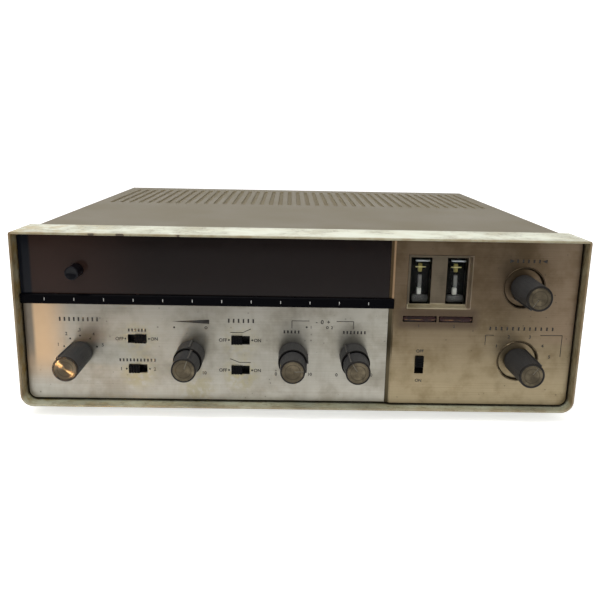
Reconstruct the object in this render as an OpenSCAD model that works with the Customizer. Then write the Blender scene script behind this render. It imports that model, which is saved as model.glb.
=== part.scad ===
// Tube integrated amplifier: a cream front frame holds a smoked window, a silver control panel
// and a champagne panel with two level indicators. Stacked and plain knobs, slide switches and
// a push button move. A slotted steel cover closes over tubes, transformers and the chassis.
// Lengths are in millimetres. The front faces -Y and the feet stand on Z = 0.

/* [Case] */
// Width across the front frame
body_w = 430; // [415:1:450]
// Height of the front frame
frame_h = 136; // [132:1:150]
// Depth from the frame's front lip to the cover's rear edge
body_d = 408; // [395:1:430]
// Depth of the front frame, from its lip to its rear edge
frame_d = 43; // [40:1:56]
// Wall of the front frame
lip_t = 1.8; // [1.6:0.1:3]
// Outer radius of the frame's lower corners
corner_r = 9.5; // [7:0.5:12]
// Outer radius of the frame's upper corners
top_corner_r = 2; // [1:0.5:3]
// Sheet metal of the cover, the chassis and the bottom pan
sheet_t = 1.2; // [0.8:0.1:1.6]
// Height of the frame's underside above the table
foot_h = 8; // [6:0.5:12]
// Radius of a rubber foot
foot_r = 11; // [8:0.5:14]
// Middle of a foot, in from the frame's side
foot_side_in = 40; // [30:1:60]
// Gap between the front frame and the front feet
foot_front_gap = 13; // [5:1:30]
// Middle of the rear feet, in from the cover's rear edge
foot_rear_in = 45; // [30:1:70]
// Gap between the frame's side wall and the cover's side
cover_gap = 0.7; // [0.6:0.1:2]
// Length of cover that slides inside the frame
cover_tuck = 6; // [3:0.5:10]
// Bend radius along the cover's upper edges
cover_bend_r = 2; // [2:0.5:5]

/* [Cooling slots] */
// Slots in the row across the cover
slot_count = 41; // [31:1:41]
// Plain margin between the cover's sides and the middle of the outermost slots
slot_side_margin = 16.5; // [12:0.1:30]
// Width of a slot
slot_w = 4.6; // [2.5:0.1:5]
// Front end of the slots, from the frame's lip
slot_front = 231; // [180:1:240]
// Plain margin between the slots and the cover's rear edge
slot_rear_margin = 27; // [15:1:40]

/* [Front panels] */
// Depth of the silver panel behind the lip
panel_recess = 10; // [7:0.5:14]
// Thickness of the silver panel and the smoked window
panel_t = 3; // [2:0.1:4]
// Height of the champagne face above the silver face
gold_proud = 2; // [1:0.1:3]
// Where the silver panel ends and the champagne panel starts, from the middle
split_x = 67.7; // [65:0.1:69]
// Width of the bevel on the champagne panel's left edge
bevel_w = 3.8; // [2:0.1:5]
// Sheet of the steel panel behind the front panels
sub_t = 1.5; // [1:0.1:2]
// Height of the trim bar
bar_h = 7.6; // [6:0.1:9]
// Height of the trim bar's middle above the frame's underside
bar_mid = 84.3; // [82:0.1:87]
// Thickness of the trim bar
bar_t = 3; // [2:0.1:4]
// Length of the trim bar that crosses the champagne panel's bevel
bar_over = 3.3; // [2:0.1:4]
// Dark gap between the front panels and the frame round them
panel_gap = 1.1; // [0.6:0.1:1.5]
// Gap round pieces that are set into an opening
seat_gap = 0.2; // [0.1:0.05:0.3]

/* [Control places] */
// Selector knob, from the middle
selector_x = -169.5; // [-175:0.5:-165]
// Volume knob, from the middle
volume_x = -84.5; // [-90:0.5:-80]
// Bass knob, from the middle
bass_x = -5.5; // [-10:0.5:0]
// Treble knob, from the middle
treble_x = 42; // [38:0.5:46]
// Height of the knob row above the frame's underside
row_h = 41.5; // [36:0.5:46]
// Balance and mode knobs, from the middle
right_knob_x = 170; // [165:0.5:175]
// Height of the balance knob above the frame's underside
balance_h = 98.2; // [94:0.1:102]
// Height of the mode knob above the frame's underside
mode_h = 40; // [36:0.1:44]
// Left pair of slide switches, from the middle
left_switch_x = -125.7; // [-130:0.1:-121]
// Filter pair of slide switches, from the middle
filter_switch_x = -46; // [-50:0.1:-42]
// Height of the upper slide switches
switch_high = 53; // [50:0.1:56]
// Height of the lower slide switches
switch_low = 28.8; // [25:0.1:32]
// Speaker slide switch, from the middle
speaker_x = 93.2; // [88:0.1:98]
// Height of the speaker slide switch
speaker_h = 35.8; // [32:0.1:40]
// Power button, from the middle
power_x = -169.3; // [-175:0.1:-165]
// Height of the power button
power_h = 106.4; // [104:0.1:110]

/* [Knobs] */
// Reach of the knobs in front of the silver panel
knob_reach = 40; // [36:0.5:44]
// Reach of the balance and mode knobs in front of the champagne panel
dish_knob_reach = 35; // [31:0.5:38]
// Radius of a plain knob at its front
knob_r = 9.5; // [9:0.1:10]
// Radius of the selector knob at its rear
selector_rear_r = 9.1; // [8.5:0.1:10]
// Radius of the balance and mode knobs at their rear
dish_knob_r = 10; // [9:0.1:10.6]
// Radius of a stacked knob at its front
stack_front_r = 9.1; // [8.6:0.1:9.2]
// Radius of a stacked knob at its rear
stack_rear_r = 9.7; // [9.2:0.1:10.4]
// Radius of the ring knob behind a stacked knob
ring_r = 10.9; // [10:0.1:12]
// Length of the ring knob
ring_len = 19; // [15:0.5:22]
// Gap between a ring knob and the knob in front of it
stack_gap = 1.5; // [0.8:0.1:2]
// Gap between a knob and its panel
knob_gap = 1; // [0.6:0.1:2]
// Chamfer round a knob's front edge
knob_edge = 0.6; // [0.3:0.1:1]
// Width of a pointer rib
rib_w = 2; // [1.4:0.1:3]
// Height of a pointer rib
rib_h = 1.1; // [0.6:0.1:1.6]
// Plain stretch of the knob at each end of its pointer rib
rib_inset = 0.5; // [0.2:0.1:1]
// Radius of the spun cap on a knob
cap_r = 7.9; // [7:0.1:8.2]
// Thickness of the spun cap
cap_t = 1.4; // [1:0.1:2]
// Dish in the middle of the cap
cap_dish = 0.4; // [0.2:0.1:0.6]
// Width of the index groove across the cap
groove_w = 1; // [0.6:0.1:1.6]
// Radius of a knob shaft
shaft_r = 3; // [2.5:0.1:3.5]
// Radius of the hollow sleeve that carries a ring knob
sleeve_r = 4.5; // [4:0.1:5]
// Radial running clearance of a shaft in its bushing
run_gap = 0.05; // [0.02:0.01:0.1]
// Radial clearance of a knob or a cap that is pushed on
push_gap = 0.02; // [0.01:0.01:0.04]
// Solid plastic between a knob's cap and its shaft bore
knob_web = 5; // [3:0.5:8]
// Radius of the dishes round the balance and mode knobs
dish_r = 15.4; // [13:0.1:17]
// Depth of the dishes
dish_d = 2.2; // [1.6:0.1:3.5]
// Width of the steep wall between a dish's rim and its floor
dish_wall = 1.1; // [0.6:0.1:3]
// Width of the raised bead round a dish
dish_bead = 0.9; // [0.5:0.1:1.5]

/* [Pointer angles at rest] */
// Selector pointer, clockwise from the top
selector_turn = -36; // [-72:36:72]
// Volume pointer
volume_turn = 19; // [-150:1:150]
// Volume ring pointer
volume_ring_turn = 6; // [-150:1:150]
// Bass pointer and its ring's pointer
bass_turn = 87; // [-150:1:150]
// Treble pointer
treble_turn = -33; // [-150:1:150]
// Treble ring pointer
treble_ring_turn = -37; // [-150:1:150]
// Balance pointer
balance_turn = -145; // [-150:1:150]
// Mode pointer
mode_turn = 36; // [-72:36:72]

/* [Controls behind the panel] */
// Radius of a potentiometer
pot_r = 12; // [10:0.5:12.5]
// Length of a potentiometer behind the steel panel
pot_len = 26; // [22:1:34]
// Radius of a threaded bushing for one shaft
bush_r = 4.75; // [4.2:0.05:5.5]
// Radius of a threaded bushing for a shaft in a sleeve
twin_bush_r = 6; // [5.5:0.1:7]
// Depth of the sleeve's bearing behind the steel panel
sleeve_depth = 10; // [6:1:14]
// Depth of the shaft's bearing behind the steel panel
shaft_depth = 20; // [16:1:21]
// Radius of a wafer in the rotary switches
wafer_r = 16; // [13:0.5:17]
// Thickness of a wafer
wafer_t = 1.6; // [1:0.1:2.5]
// Distance between the wafers
wafer_step = 10; // [8:1:12]
// End play of a shaft in its bearing
end_gap = 0.3; // [0.2:0.05:0.5]

/* [Slide switches] */
// Length of a slide actuator
slider_l = 8.4; // [7:0.1:9]
// Width of a slide actuator
slider_w = 6.3; // [5:0.1:7]
// Travel of a slide actuator
slider_travel = 5.4; // [4:0.1:6]
// Height of an actuator above its panel
slider_proud = 2.2; // [1:0.1:4]
// Clearance round an actuator in its slot
slide_gap = 0.3; // [0.2:0.05:0.4]
// Depth of the slot in the switch body
slider_depth = 6; // [4:0.5:8]
// Wall of the switch body
switch_wall = 2.5; // [1.5:0.1:3]

/* [Power button] */
// Radius of the button
button_r = 5.1; // [4.5:0.1:6]
// Reach of the button in front of the window
button_reach = 13.5; // [10:0.5:16]
// Travel of the button
button_travel = 3.5; // [2.5:0.1:3.8]
// Radius of the stem in the switch
stem_r = 3.5; // [3:0.1:4]
// Length of the stem in the switch
stem_len = 12; // [8:0.5:14]
// Depth of the hollow in the button's face
button_hollow = 0.8; // [0.4:0.1:1.2]
// Width of the power switch body
power_body_w = 22; // [18:1:26]
// Length of the power switch body
power_body_l = 26; // [24:1:32]

/* [Level indicators] */
// Width of an indicator window
eye_w = 16.1; // [14:0.1:17]
// Height of an indicator window
eye_h = 36.3; // [33:0.1:37.5]
// Distance between the two windows
eye_pitch = 27.8; // [26:0.1:29]
// Middle of the windows, from the middle of the frame
eye_x = 105.5; // [104:0.1:107]
// Gap between the frame's inner top and the bezel's upper edge
eye_top_gap = 11.95; // [9:0.05:14]
// Flat margin round the windows
eye_margin = 0.9; // [0.6:0.1:1.5]
// Slope of the bezel's inner walls, front to floor
eye_slope = 1; // [0.5:0.1:1.5]
// Rim of the bezel
eye_rim = 0.6; // [0.4:0.1:1]
// Depth of the bezel's floor behind the champagne face
eye_depth = 5; // [4:0.1:6]
// Radius of an indicator tube
eye_tube_r = 11; // [10:0.1:11.5]
// Length of an indicator tube
eye_tube_len = 52; // [48:1:54]
// Width of a pilot lens
lens_w = 25.6; // [22:0.1:26]
// Height of a pilot lens
lens_h = 4.3; // [3.5:0.1:5]
// Gap between the bezel's lower edge and the pilot lenses
lens_gap = 6.1; // [4:0.1:8]
// Height of a pilot lens above its panel
lens_proud = 0.8; // [0.4:0.1:1.5]

/* [Chassis and tubes] */
// Height of the chassis deck above the frame's underside
deck_h = 54; // [50:0.5:56]
// Front wall of the chassis, from the frame's lip
deck_front = 80; // [74:1:90]
// Height of the bottom pan's upturned sides
pan_side_h = 22; // [18:1:28]
// Row of small tubes, from the frame's lip
small_row_y = 140; // [130:1:150]
// Row of output tubes, from the frame's lip
output_row_y = 236; // [225:1:245]
// Distance between neighbouring tubes
tube_pitch = 44; // [40:1:46]
// First tube of the rows, from the middle
tube_first_x = -168; // [-172:1:-160]
// Small tubes in their row
small_count = 5; // [3:1:6]
// Output tubes in their row
output_count = 4; // [2:1:4]
// Radius of a tube's glass
tube_r = 11; // [10:0.1:11.5]
// Length of an output tube
output_tube_len = 64; // [56:1:66]
// Length of a small tube
small_tube_len = 46; // [40:1:52]
// Radius of a tube socket's collar
socket_collar_r = 13; // [12.5:0.1:15]
// Radius of a tube socket's body
socket_r = 10.4; // [9:0.1:11]
// Depth of a tube socket under the deck
socket_depth = 12; // [8:1:14]
// Thickness of a socket's collar
socket_t = 1.6; // [1:0.1:2]

/* [Transformers and capacitors] */
// Height of the power transformer
power_tr_h = 68; // [56:1:70]
// Width of the power transformer
power_tr_w = 92; // [80:1:100]
// Thickness of the power transformer's core
power_tr_core = 36; // [28:1:42]
// Depth of each end bell on the power transformer
power_bell = 24; // [18:1:28]
// Power transformer, from the middle
power_tr_x = 138; // [132:1:142]
// Height of an output transformer
output_tr_h = 60; // [50:1:66]
// Width of an output transformer
output_tr_w = 62; // [54:1:64]
// Thickness of an output transformer's core
output_tr_core = 26; // [20:1:30]
// Depth of each end bell on an output transformer
output_bell = 16; // [12:1:18]
// First output transformer, from the middle
output_tr_x = -150; // [-155:1:-145]
// Distance between the output transformers
output_tr_pitch = 76; // [70:1:80]
// Transformers in front of the cover's rear edge
transformer_back = 78; // [70:1:86]
// Radius of a filter capacitor
can_r = 17.5; // [14:0.5:18]
// Height of a filter capacitor
can_h = 60; // [50:1:66]
// First filter capacitor, from the middle
can_x = 0; // [-6:1:6]
// Distance between the filter capacitors
can_pitch = 44; // [40:1:48]
// Filter capacitors
can_count = 2; // [1:1:2]

/* [Rear fittings] */
// Columns of input sockets
jack_count = 6; // [4:1:7]
// Distance between input sockets
jack_pitch = 18; // [16:0.5:20]
// Distance between the two rows of input sockets
jack_row_gap = 17; // [15:0.5:18]
// Radius of an input socket
jack_r = 4.1; // [3.5:0.1:4.5]
// Length of an input socket
jack_len = 10; // [8:0.5:12]
// Radius of the hole in an input socket
jack_hole_r = 1.6; // [1.4:0.1:1.8]
// Middle of the input sockets, from the middle
jack_x = 125; // [115:1:130]
// Screws on the speaker strip
terminal_count = 8; // [6:1:9]
// Distance between speaker screws
terminal_pitch = 11; // [10:0.5:12]
// Middle of the speaker strip, from the middle
terminal_x = 5; // [0:1:10]
// Middle of the rear fittings above the frame's underside
fitting_h = 30; // [28:0.5:32]
// Thickness of the insulating strips on the rear
strip_t = 1.6; // [1:0.1:2.5]
// Radius of the fuse holder's cap
fuse_r = 6.5; // [5.5:0.1:7.5]
// Reach of the fuse holder behind the rear wall
fuse_len = 16; // [13:0.5:20]
// Length of the fuse holder inside
fuse_body_len = 30; // [24:1:36]
// Fuse holder, from the middle
fuse_x = -72; // [-78:1:-66]
// Width of an outlet on the rear
outlet_w = 26; // [24:0.5:28]
// Height of an outlet on the rear
outlet_h = 18; // [16:0.5:20]
// Reach of an outlet behind the rear wall
outlet_t = 4; // [3:0.1:5]
// First outlet, from the middle
outlet_x = -116; // [-118:1:-112]
// Distance between the outlets
outlet_pitch = 32; // [31:0.5:34]
// Radius of the hole for the mains lead
gland_hole_r = 3.5; // [3:0.1:4]
// Wall of the mains lead's gland
gland_wall = 3; // [2:0.1:4]
// Mains lead's gland, from the middle
gland_x = -182; // [-186:1:-180]
// Radius of the cover's screws
screw_r = 1.5; // [1.2:0.1:2]
// Radius of a screw head
screw_head_r = 3.4; // [2.8:0.1:4]
// Height of a screw head
screw_head_t = 1.5; // [1:0.1:1.5]
// Front cover screws, behind the front wall of the chassis
screw_front_in = 20; // [12:1:40]
// Rear cover screws, in from the cover's rear edge
screw_rear_in = 60; // [40:1:80]

/* [Hidden] */
$fn = 64;

// Frame, cover and pan
inner_hw = body_w / 2 - lip_t;
frame_z0 = foot_h;
frame_z1 = foot_h + frame_h;
inner_z0 = frame_z0 + lip_t;
inner_z1 = frame_z1 - lip_t;
inner_r = corner_r - lip_t;
cover_hw = inner_hw - cover_gap;
cover_z0 = frame_z0 + corner_r;
cover_z1 = inner_z1 - seat_gap;
cover_y0 = frame_d - cover_tuck;
slot_pitch = 2 * (cover_hw - slot_side_margin) / (slot_count - 1);
pan_hw = cover_hw - sheet_t - seat_gap;
pan_z0 = inner_z0 + seat_gap;
pan_r = inner_r - seat_gap;
pan_floor = pan_z0 + sheet_t;
pan_inner_r = pan_r - sheet_t;
chassis_hw = pan_hw - sheet_t - seat_gap;
deck_z = frame_z0 + deck_h;
apron_y1 = body_d - sheet_t - seat_gap;
apron_y0 = apron_y1 - sheet_t;
skirt_overlap = 6;
vent_bottom = 20;
vent_top = 16;

// Front panels
panel_hw = inner_hw - panel_gap;
panel_z0 = inner_z0 + panel_gap;
panel_z1 = inner_z1 - panel_gap;
panel_r = inner_r - panel_gap;
sub_hw = inner_hw - seat_gap;
sub_z0 = inner_z0 + seat_gap;
sub_z1 = inner_z1 - seat_gap;
sub_r = inner_r - seat_gap;
silver_y = panel_recess;
gold_y = silver_y - gold_proud;
sub_y0 = silver_y + panel_t;
sub_y1 = sub_y0 + sub_t;
bar_z = frame_z0 + bar_mid;
bar_x1 = split_x + bar_over;
row_z = frame_z0 + row_h;
balance_z = frame_z0 + balance_h;
mode_z = frame_z0 + mode_h;
dish_floor_y = gold_y + dish_d;

// Knobs
ring_y1 = silver_y - knob_gap;
ring_y0 = ring_y1 - ring_len;
stack_y1 = ring_y0 - stack_gap;
knob_y0 = silver_y - knob_reach;
dish_knob_y0 = gold_y - dish_knob_reach;
dish_knob_y1 = dish_floor_y - knob_gap;
bore_in = cap_t + knob_web;

// Slide switches, each at [x, z] with the side where its actuator rests
slot_l = slider_l + slider_travel + 2 * slide_gap;
slot_h = slider_w + 2 * slide_gap;
high_z = frame_z0 + switch_high;
low_z = frame_z0 + switch_low;
speaker_z = frame_z0 + speaker_h;
power_z = frame_z0 + power_h;
button_seat = 0.5;

// Level indicators
eye_border = eye_margin + eye_slope + eye_rim;
bezel_hw = (eye_pitch + eye_w) / 2 + eye_border;
bezel_hh = eye_h / 2 + eye_border;
eye_z = inner_z1 - eye_top_gap - bezel_hh;
bezel_floor_y = gold_y + eye_depth;
bezel_y1 = sub_y1;
shelf_z = eye_z - eye_tube_len / 2;
eye_tube_y = sub_y1 + seat_gap + eye_tube_r;
lens_z = eye_z - bezel_hh - lens_gap - lens_h / 2;

// Tubes and rear fittings
tube_seat_z = deck_z + socket_t;
transformer_y = body_d - transformer_back;
fitting_z = frame_z0 + fitting_h;
gland_r = gland_hole_r + gland_wall;
fuse_barrel_r = fuse_r - 1;
rear_y = apron_y1 + max(fuse_len, jack_len + strip_t, outlet_t);
screw_z = pan_z0 + pan_side_h - 7;
screw_ys = [deck_front + screw_front_in, body_d - screw_rear_in];
foot_x = body_w / 2 - foot_side_in;
foot_ys = [frame_d + foot_r + foot_front_gap, body_d - foot_rear_in];

// The model is centred on the middle of its whole depth
mid_y = (rear_y + knob_y0) / 2;

// Moves a piece from the lip's frame to the model's own frame
module placed() {
    translate([0, -mid_y, 0]) children();
}

// A block between two limits on each axis
module box(x, y, z) {
    translate([x[0], y[0], z[0]]) cube([x[1] - x[0], y[1] - y[0], z[1] - z[0]]);
}

// A round bar along X, Y or Z between two limits
module rod_x(y, z, x, r) {
    translate([x[0], y, z]) rotate([0, 90, 0]) cylinder(h = x[1] - x[0], r = r);
}
module rod_y(x, z, y, r) {
    translate([x, y[0], z]) rotate([-90, 0, 0]) cylinder(h = y[1] - y[0], r = r);
}
module rod_z(x, y, z, r) {
    translate([x, y, z[0]]) cylinder(h = z[1] - z[0], r = r);
}

// Revolves a profile of radius and depth about an axis along +Y
module turned_y(x, z, y) {
    translate([x, y, z]) rotate([-90, 0, 0]) rotate_extrude() children();
}

// A slab across the case with round lower corners and round upper corners
module case_slab(hw, z, y, low_r, high_r) {
    box([-hw, hw], y, [z[0] + low_r, z[1] - high_r]);
    box([low_r - hw, hw - low_r], y, [z[0], z[0] + low_r + 1]);
    box([high_r - hw, hw - high_r], y, [z[1] - high_r - 1, z[1]]);
    for (side = [-1, 1]) {
        rod_y(side * (hw - low_r), z[0] + low_r, y, low_r);
        rod_y(side * (hw - high_r), z[1] - high_r, y, high_r);
    }
}

// The same slab with square upper corners
module floor_slab(hw, z, y, low_r) {
    box([-hw, hw], y, [z[0] + low_r, z[1]]);
    box([low_r - hw, hw - low_r], y, [z[0], z[0] + low_r + 1]);
    for (side = [-1, 1]) rod_y(side * (hw - low_r), z[0] + low_r, y, low_r);
}

// The same slab with square lower corners
module roof_slab(hw, z, y, high_r) {
    box([-hw, hw], y, [z[0], z[1] - high_r]);
    box([high_r - hw, hw - high_r], y, [z[1] - high_r - 1, z[1]]);
    for (side = [-1, 1]) rod_y(side * (hw - high_r), z[1] - high_r, y, high_r);
}

// A block whose four sides slope in by inset from its first to its last depth
module sloped_block(x, y, z, inset) {
    intersection() {
        translate([0, 0, z[0]]) linear_extrude(z[1] - z[0])
            polygon([[x[0], y[0]], [x[1], y[0]], [x[1] - inset, y[1]], [x[0] + inset, y[1]]]);
        translate([x[0], 0, 0]) rotate([90, 0, 90]) linear_extrude(x[1] - x[0])
            polygon([[y[0], z[0]], [y[1], z[0] + inset], [y[1], z[1] - inset], [y[0], z[1]]]);
    }
}

// Case

module front_frame() {
    color("ivory") placed() difference() {
        case_slab(body_w / 2, [frame_z0, frame_z1], [0, frame_d], corner_r, top_corner_r);
        floor_slab(inner_hw, [inner_z0, inner_z1], [-1, frame_d + 1], inner_r);
    }
}

// One slot with round ends, cut down through the cover's top
module top_slot(x) {
    y0 = slot_front + slot_w / 2;
    y1 = body_d - slot_rear_margin - slot_w / 2;
    z = [cover_z1 - sheet_t - 1, cover_z1 + 1];
    box([x - slot_w / 2, x + slot_w / 2], [y0, y1], z);
    for (y = [y0, y1]) rod_z(x, y, z, slot_w / 2);
}

// One slot cut through the cover's rear wall
module rear_slot(x) {
    z = [deck_z + vent_bottom, cover_z1 - vent_top];
    box([x - slot_w / 2, x + slot_w / 2], [body_d - sheet_t - 1, body_d + 1], z);
}

module top_cover() {
    inside_hw = cover_hw - sheet_t;
    color("dimgray") placed() difference() {
        roof_slab(cover_hw, [cover_z0, cover_z1], [cover_y0, body_d], cover_bend_r);
        roof_slab(inside_hw, [cover_z0 - 1, cover_z1 - sheet_t], [cover_y0 - 1, body_d - sheet_t],
            cover_bend_r - sheet_t);
        box([-inside_hw, inside_hw], [body_d - sheet_t - 1, body_d + 1],
            [cover_z0 - 1, deck_z - skirt_overlap]);
        for (i = [0 : slot_count - 1]) {
            x = (i - (slot_count - 1) / 2) * slot_pitch;
            top_slot(x);
            rear_slot(x);
        }
        for (y = screw_ys) rod_x(y, screw_z, [-cover_hw - 1, cover_hw + 1], screw_r + seat_gap);
    }
}

module bottom_pan() {
    y = [sub_y1, apron_y1];
    z1 = pan_z0 + pan_side_h;
    vent_pitch = 14;
    vent_hw = 120;
    color("gray") placed() difference() {
        floor_slab(pan_hw, [pan_z0, z1], y, pan_r);
        floor_slab(pan_hw - sheet_t, [pan_floor, z1 + 1], [y[0] - 1, y[1] + 1], pan_inner_r);
        for (x = [-vent_hw : vent_pitch : vent_hw])
            box([x - 2, x + 2], [small_row_y, output_row_y], [pan_z0 - 1, pan_floor + 1]);
        for (y = screw_ys) rod_x(y, screw_z, [-pan_hw - 1, pan_hw + 1], screw_r + push_gap);
    }
}

module feet() {
    color("black") placed() for (side = [-1, 1], y = foot_ys)
        translate([side * foot_x, y, 0]) rotate_extrude() polygon([
            [0, 2.5], [foot_r * 0.4, 2.5], [foot_r * 0.4, 0], [foot_r * 0.8, 0],
            [foot_r * 0.87, 0.8], [foot_r, pan_z0], [0, pan_z0]
        ]);
}

module cover_screws() {
    color("silver") placed() for (side = [-1, 1], y = screw_ys) {
        translate([side * cover_hw, y, screw_z]) rotate([0, side * 90, 0]) difference() {
            union() {
                rotate_extrude() polygon([
                    [0, 0], [screw_head_r, 0], [screw_head_r, screw_head_t * 0.4],
                    [screw_head_r * 0.6, screw_head_t], [0, screw_head_t]
                ]);
                translate([0, 0, -8]) cylinder(h = 8.5, r = screw_r);
            }
            translate([-screw_head_r, -0.4, screw_head_t * 0.5])
                cube([2 * screw_head_r, 0.8, screw_head_t]);
        }
    }
}

// Places of the tubes on the deck, as [x, y]
small_places = [for (i = [0 : small_count - 1]) [tube_first_x + i * tube_pitch, small_row_y]];
output_places = [for (i = [0 : output_count - 1]) [tube_first_x + i * tube_pitch, output_row_y]];
tube_places = concat(small_places, output_places);
can_places = [for (i = [0 : can_count - 1]) [can_x + i * can_pitch, transformer_y]];

// The two rows of input sockets, as [x, z]
jack_places = [
    for (i = [0 : jack_count - 1], row = [-1, 1])
        [jack_x + (i - (jack_count - 1) / 2) * jack_pitch, fitting_z + row * jack_row_gap / 2]
];
outlet_places = [outlet_x - outlet_pitch, outlet_x];

// The deck with a flange folded down along each side
module chassis() {
    flange_z = deck_z - pan_side_h;
    color("darkgray") placed() difference() {
        union() {
            box([-chassis_hw, chassis_hw], [deck_front, apron_y0], [deck_z - sheet_t, deck_z]);
            for (side = [-1, 1])
                box([side * chassis_hw - (side > 0 ? sheet_t : 0),
                     side * chassis_hw + (side > 0 ? 0 : sheet_t)],
                    [sub_y1, apron_y0], [flange_z, deck_z]);
        }
        for (p = tube_places)
            rod_z(p[0], p[1], [deck_z - sheet_t - 1, deck_z + 1], socket_r + seat_gap);
    }
}

// The wall that carries the deck's front edge, between the two flanges
module front_wall() {
    color("darkgray") placed()
        floor_slab(chassis_hw - sheet_t, [pan_floor, deck_z - sheet_t],
            [deck_front, deck_front + sheet_t], pan_inner_r);
}

// The rear wall that carries the deck and the rear fittings
module rear_apron() {
    y = [apron_y0 - 1, apron_y1 + 1];
    color("darkgray") placed() difference() {
        floor_slab(chassis_hw, [pan_floor, deck_z], [apron_y0, apron_y1], pan_inner_r);
        for (p = jack_places) rod_y(p[0], p[1], y, jack_r + seat_gap);
        rod_y(fuse_x, fitting_z, y, fuse_barrel_r + seat_gap);
        rod_y(gland_x, fitting_z, y, gland_r + seat_gap);
    }
}

// Front panels

// The round seat that every bushing on the silver panel passes through
module bushing_hole(x, z, r) {
    rod_y(x, z, [gold_y - 2, sub_y1 + 1], r + seat_gap);
}

// The slot of a slide switch that lies along X or stands along Z
module slider_slot(x, z, upright, y) {
    hx = (upright ? slot_h : slot_l) / 2;
    hz = (upright ? slot_l : slot_h) / 2;
    box([x - hx, x + hx], y, [z - hz, z + hz]);
}

// Every hole in the silver panel and in the steel panel behind it
module silver_holes() {
    bushing_hole(selector_x, row_z, bush_r);
    for (x = [volume_x, bass_x, treble_x]) bushing_hole(x, row_z, twin_bush_r);
    for (x = [left_switch_x, filter_switch_x], z = [low_z, high_z])
        slider_slot(x, z, false, [gold_y - 2, sub_y1 + 1]);
}

// Every hole in the champagne panel and in the steel panel behind it
module gold_holes() {
    for (z = [balance_z, mode_z]) bushing_hole(right_knob_x, z, bush_r);
    slider_slot(speaker_x, speaker_z, true, [gold_y - 2, sub_y1 + 1]);
    box([eye_x - bezel_hw - seat_gap, eye_x + bezel_hw + seat_gap], [gold_y - 2, sub_y1 + 1],
        [eye_z - bezel_hh - seat_gap, eye_z + bezel_hh + seat_gap]);
}

module power_hole() {
    rod_y(power_x, power_z, [silver_y - 1, sub_y1 + 1], button_r + slide_gap);
}

// The steel panel, with a shelf folded back under the indicator tubes
module sub_panel() {
    color("lightgray") placed() {
        difference() {
            floor_slab(sub_hw, [sub_z0, sub_z1], [sub_y0, sub_y1], sub_r);
            silver_holes();
            gold_holes();
            power_hole();
        }
        box([eye_x - bezel_hw, eye_x + bezel_hw], [sub_y0, eye_tube_y + eye_tube_r],
            [shelf_z - sub_t, shelf_z]);
    }
}

module silver_panel() {
    color("silver") placed() difference() {
        intersection() {
            floor_slab(panel_hw, [panel_z0, panel_z1], [silver_y, sub_y0], panel_r);
            box([-body_w, split_x - seat_gap], [0, frame_d], [0, bar_z]);
        }
        silver_holes();
    }
}

module dark_window() {
    color("saddlebrown") placed() difference() {
        box([-panel_hw, split_x - seat_gap], [silver_y, sub_y0], [bar_z, panel_z1]);
        power_hole();
    }
}

module trim_bar() {
    z = [bar_z - bar_h / 2, bar_z + bar_h / 2];
    y = [silver_y - bar_t, silver_y];
    edge = bar_t / 4;
    color("black") placed() translate([-panel_hw, 0, 0]) rotate([90, 0, 90])
        linear_extrude(bar_x1 + panel_hw) polygon([
            [y[1], z[0]], [y[1], z[1]], [y[0] + edge, z[1]], [y[0], z[1] - edge],
            [y[0], z[0] + edge], [y[0] + edge, z[0]]
        ]);
}

// A shallow dish with a flat floor, as a cutter
module dish_cut(x, z) {
    turned_y(x, z, gold_y) polygon([
        [0, -2], [dish_r, -2], [dish_r, 0], [dish_r - dish_wall / 2, dish_d * 0.8],
        [dish_r - dish_wall, dish_d], [0, dish_d]
    ]);
}

// The raised bead round a dish
module dish_rim(x, z) {
    turned_y(x, z, gold_y) polygon([
        [dish_r - 1, 1], [dish_r - 1, -dish_bead / 2], [dish_r + dish_bead / 2, -dish_bead],
        [dish_r + dish_bead, -dish_bead / 2], [dish_r + dish_bead, 1]
    ]);
}

module gold_panel() {
    bar = [bar_z - bar_h / 2 - seat_gap, bar_z + bar_h / 2 + seat_gap];
    color("darkkhaki") placed() difference() {
        union() {
            intersection() {
                floor_slab(panel_hw, [panel_z0, panel_z1], [gold_y, sub_y0], panel_r);
                linear_extrude(frame_z1) polygon([
                    [split_x, sub_y0], [split_x, silver_y], [split_x + bevel_w, gold_y],
                    [body_w, gold_y], [body_w, sub_y0]
                ]);
            }
            for (z = [balance_z, mode_z]) dish_rim(right_knob_x, z);
        }
        for (z = [balance_z, mode_z]) dish_cut(right_knob_x, z);
        gold_holes();
        box([split_x - 1, bar_x1 + seat_gap], [0, silver_y], bar);
        for (side = [-1, 1]) lens_block(side, [gold_y - 2, sub_y0 + 1], seat_gap);
    }
}

// Level indicators

module eye_bezel() {
    y0 = gold_y - eye_rim;
    color("khaki") placed() difference() {
        box([eye_x - bezel_hw, eye_x + bezel_hw], [y0, bezel_y1],
            [eye_z - bezel_hh, eye_z + bezel_hh]);
        sloped_block([eye_x - bezel_hw + eye_rim, eye_x + bezel_hw - eye_rim], [y0, bezel_floor_y],
            [eye_z - bezel_hh + eye_rim, eye_z + bezel_hh - eye_rim], eye_slope);
        for (side = [-1, 1]) {
            x = eye_x + side * eye_pitch / 2;
            box([x - eye_w / 2, x + eye_w / 2], [y0, bezel_y1 + 1],
                [eye_z - eye_h / 2, eye_z + eye_h / 2]);
        }
    }
}

// Profile of a glass tube that stands on Z = 0 with a drawn-out tip
module tube_profile(r, len) {
    shoulder = len - r * 0.85;
    polygon(concat(
        [[0, 0], [r * 0.86, 0], [r, 2.5]],
        [for (a = [0 : 10 : 70]) [r * cos(a), shoulder + r * 0.55 * sin(a)]],
        [[r * 0.16, len - r * 0.24], [0, len]]
    ));
}

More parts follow.
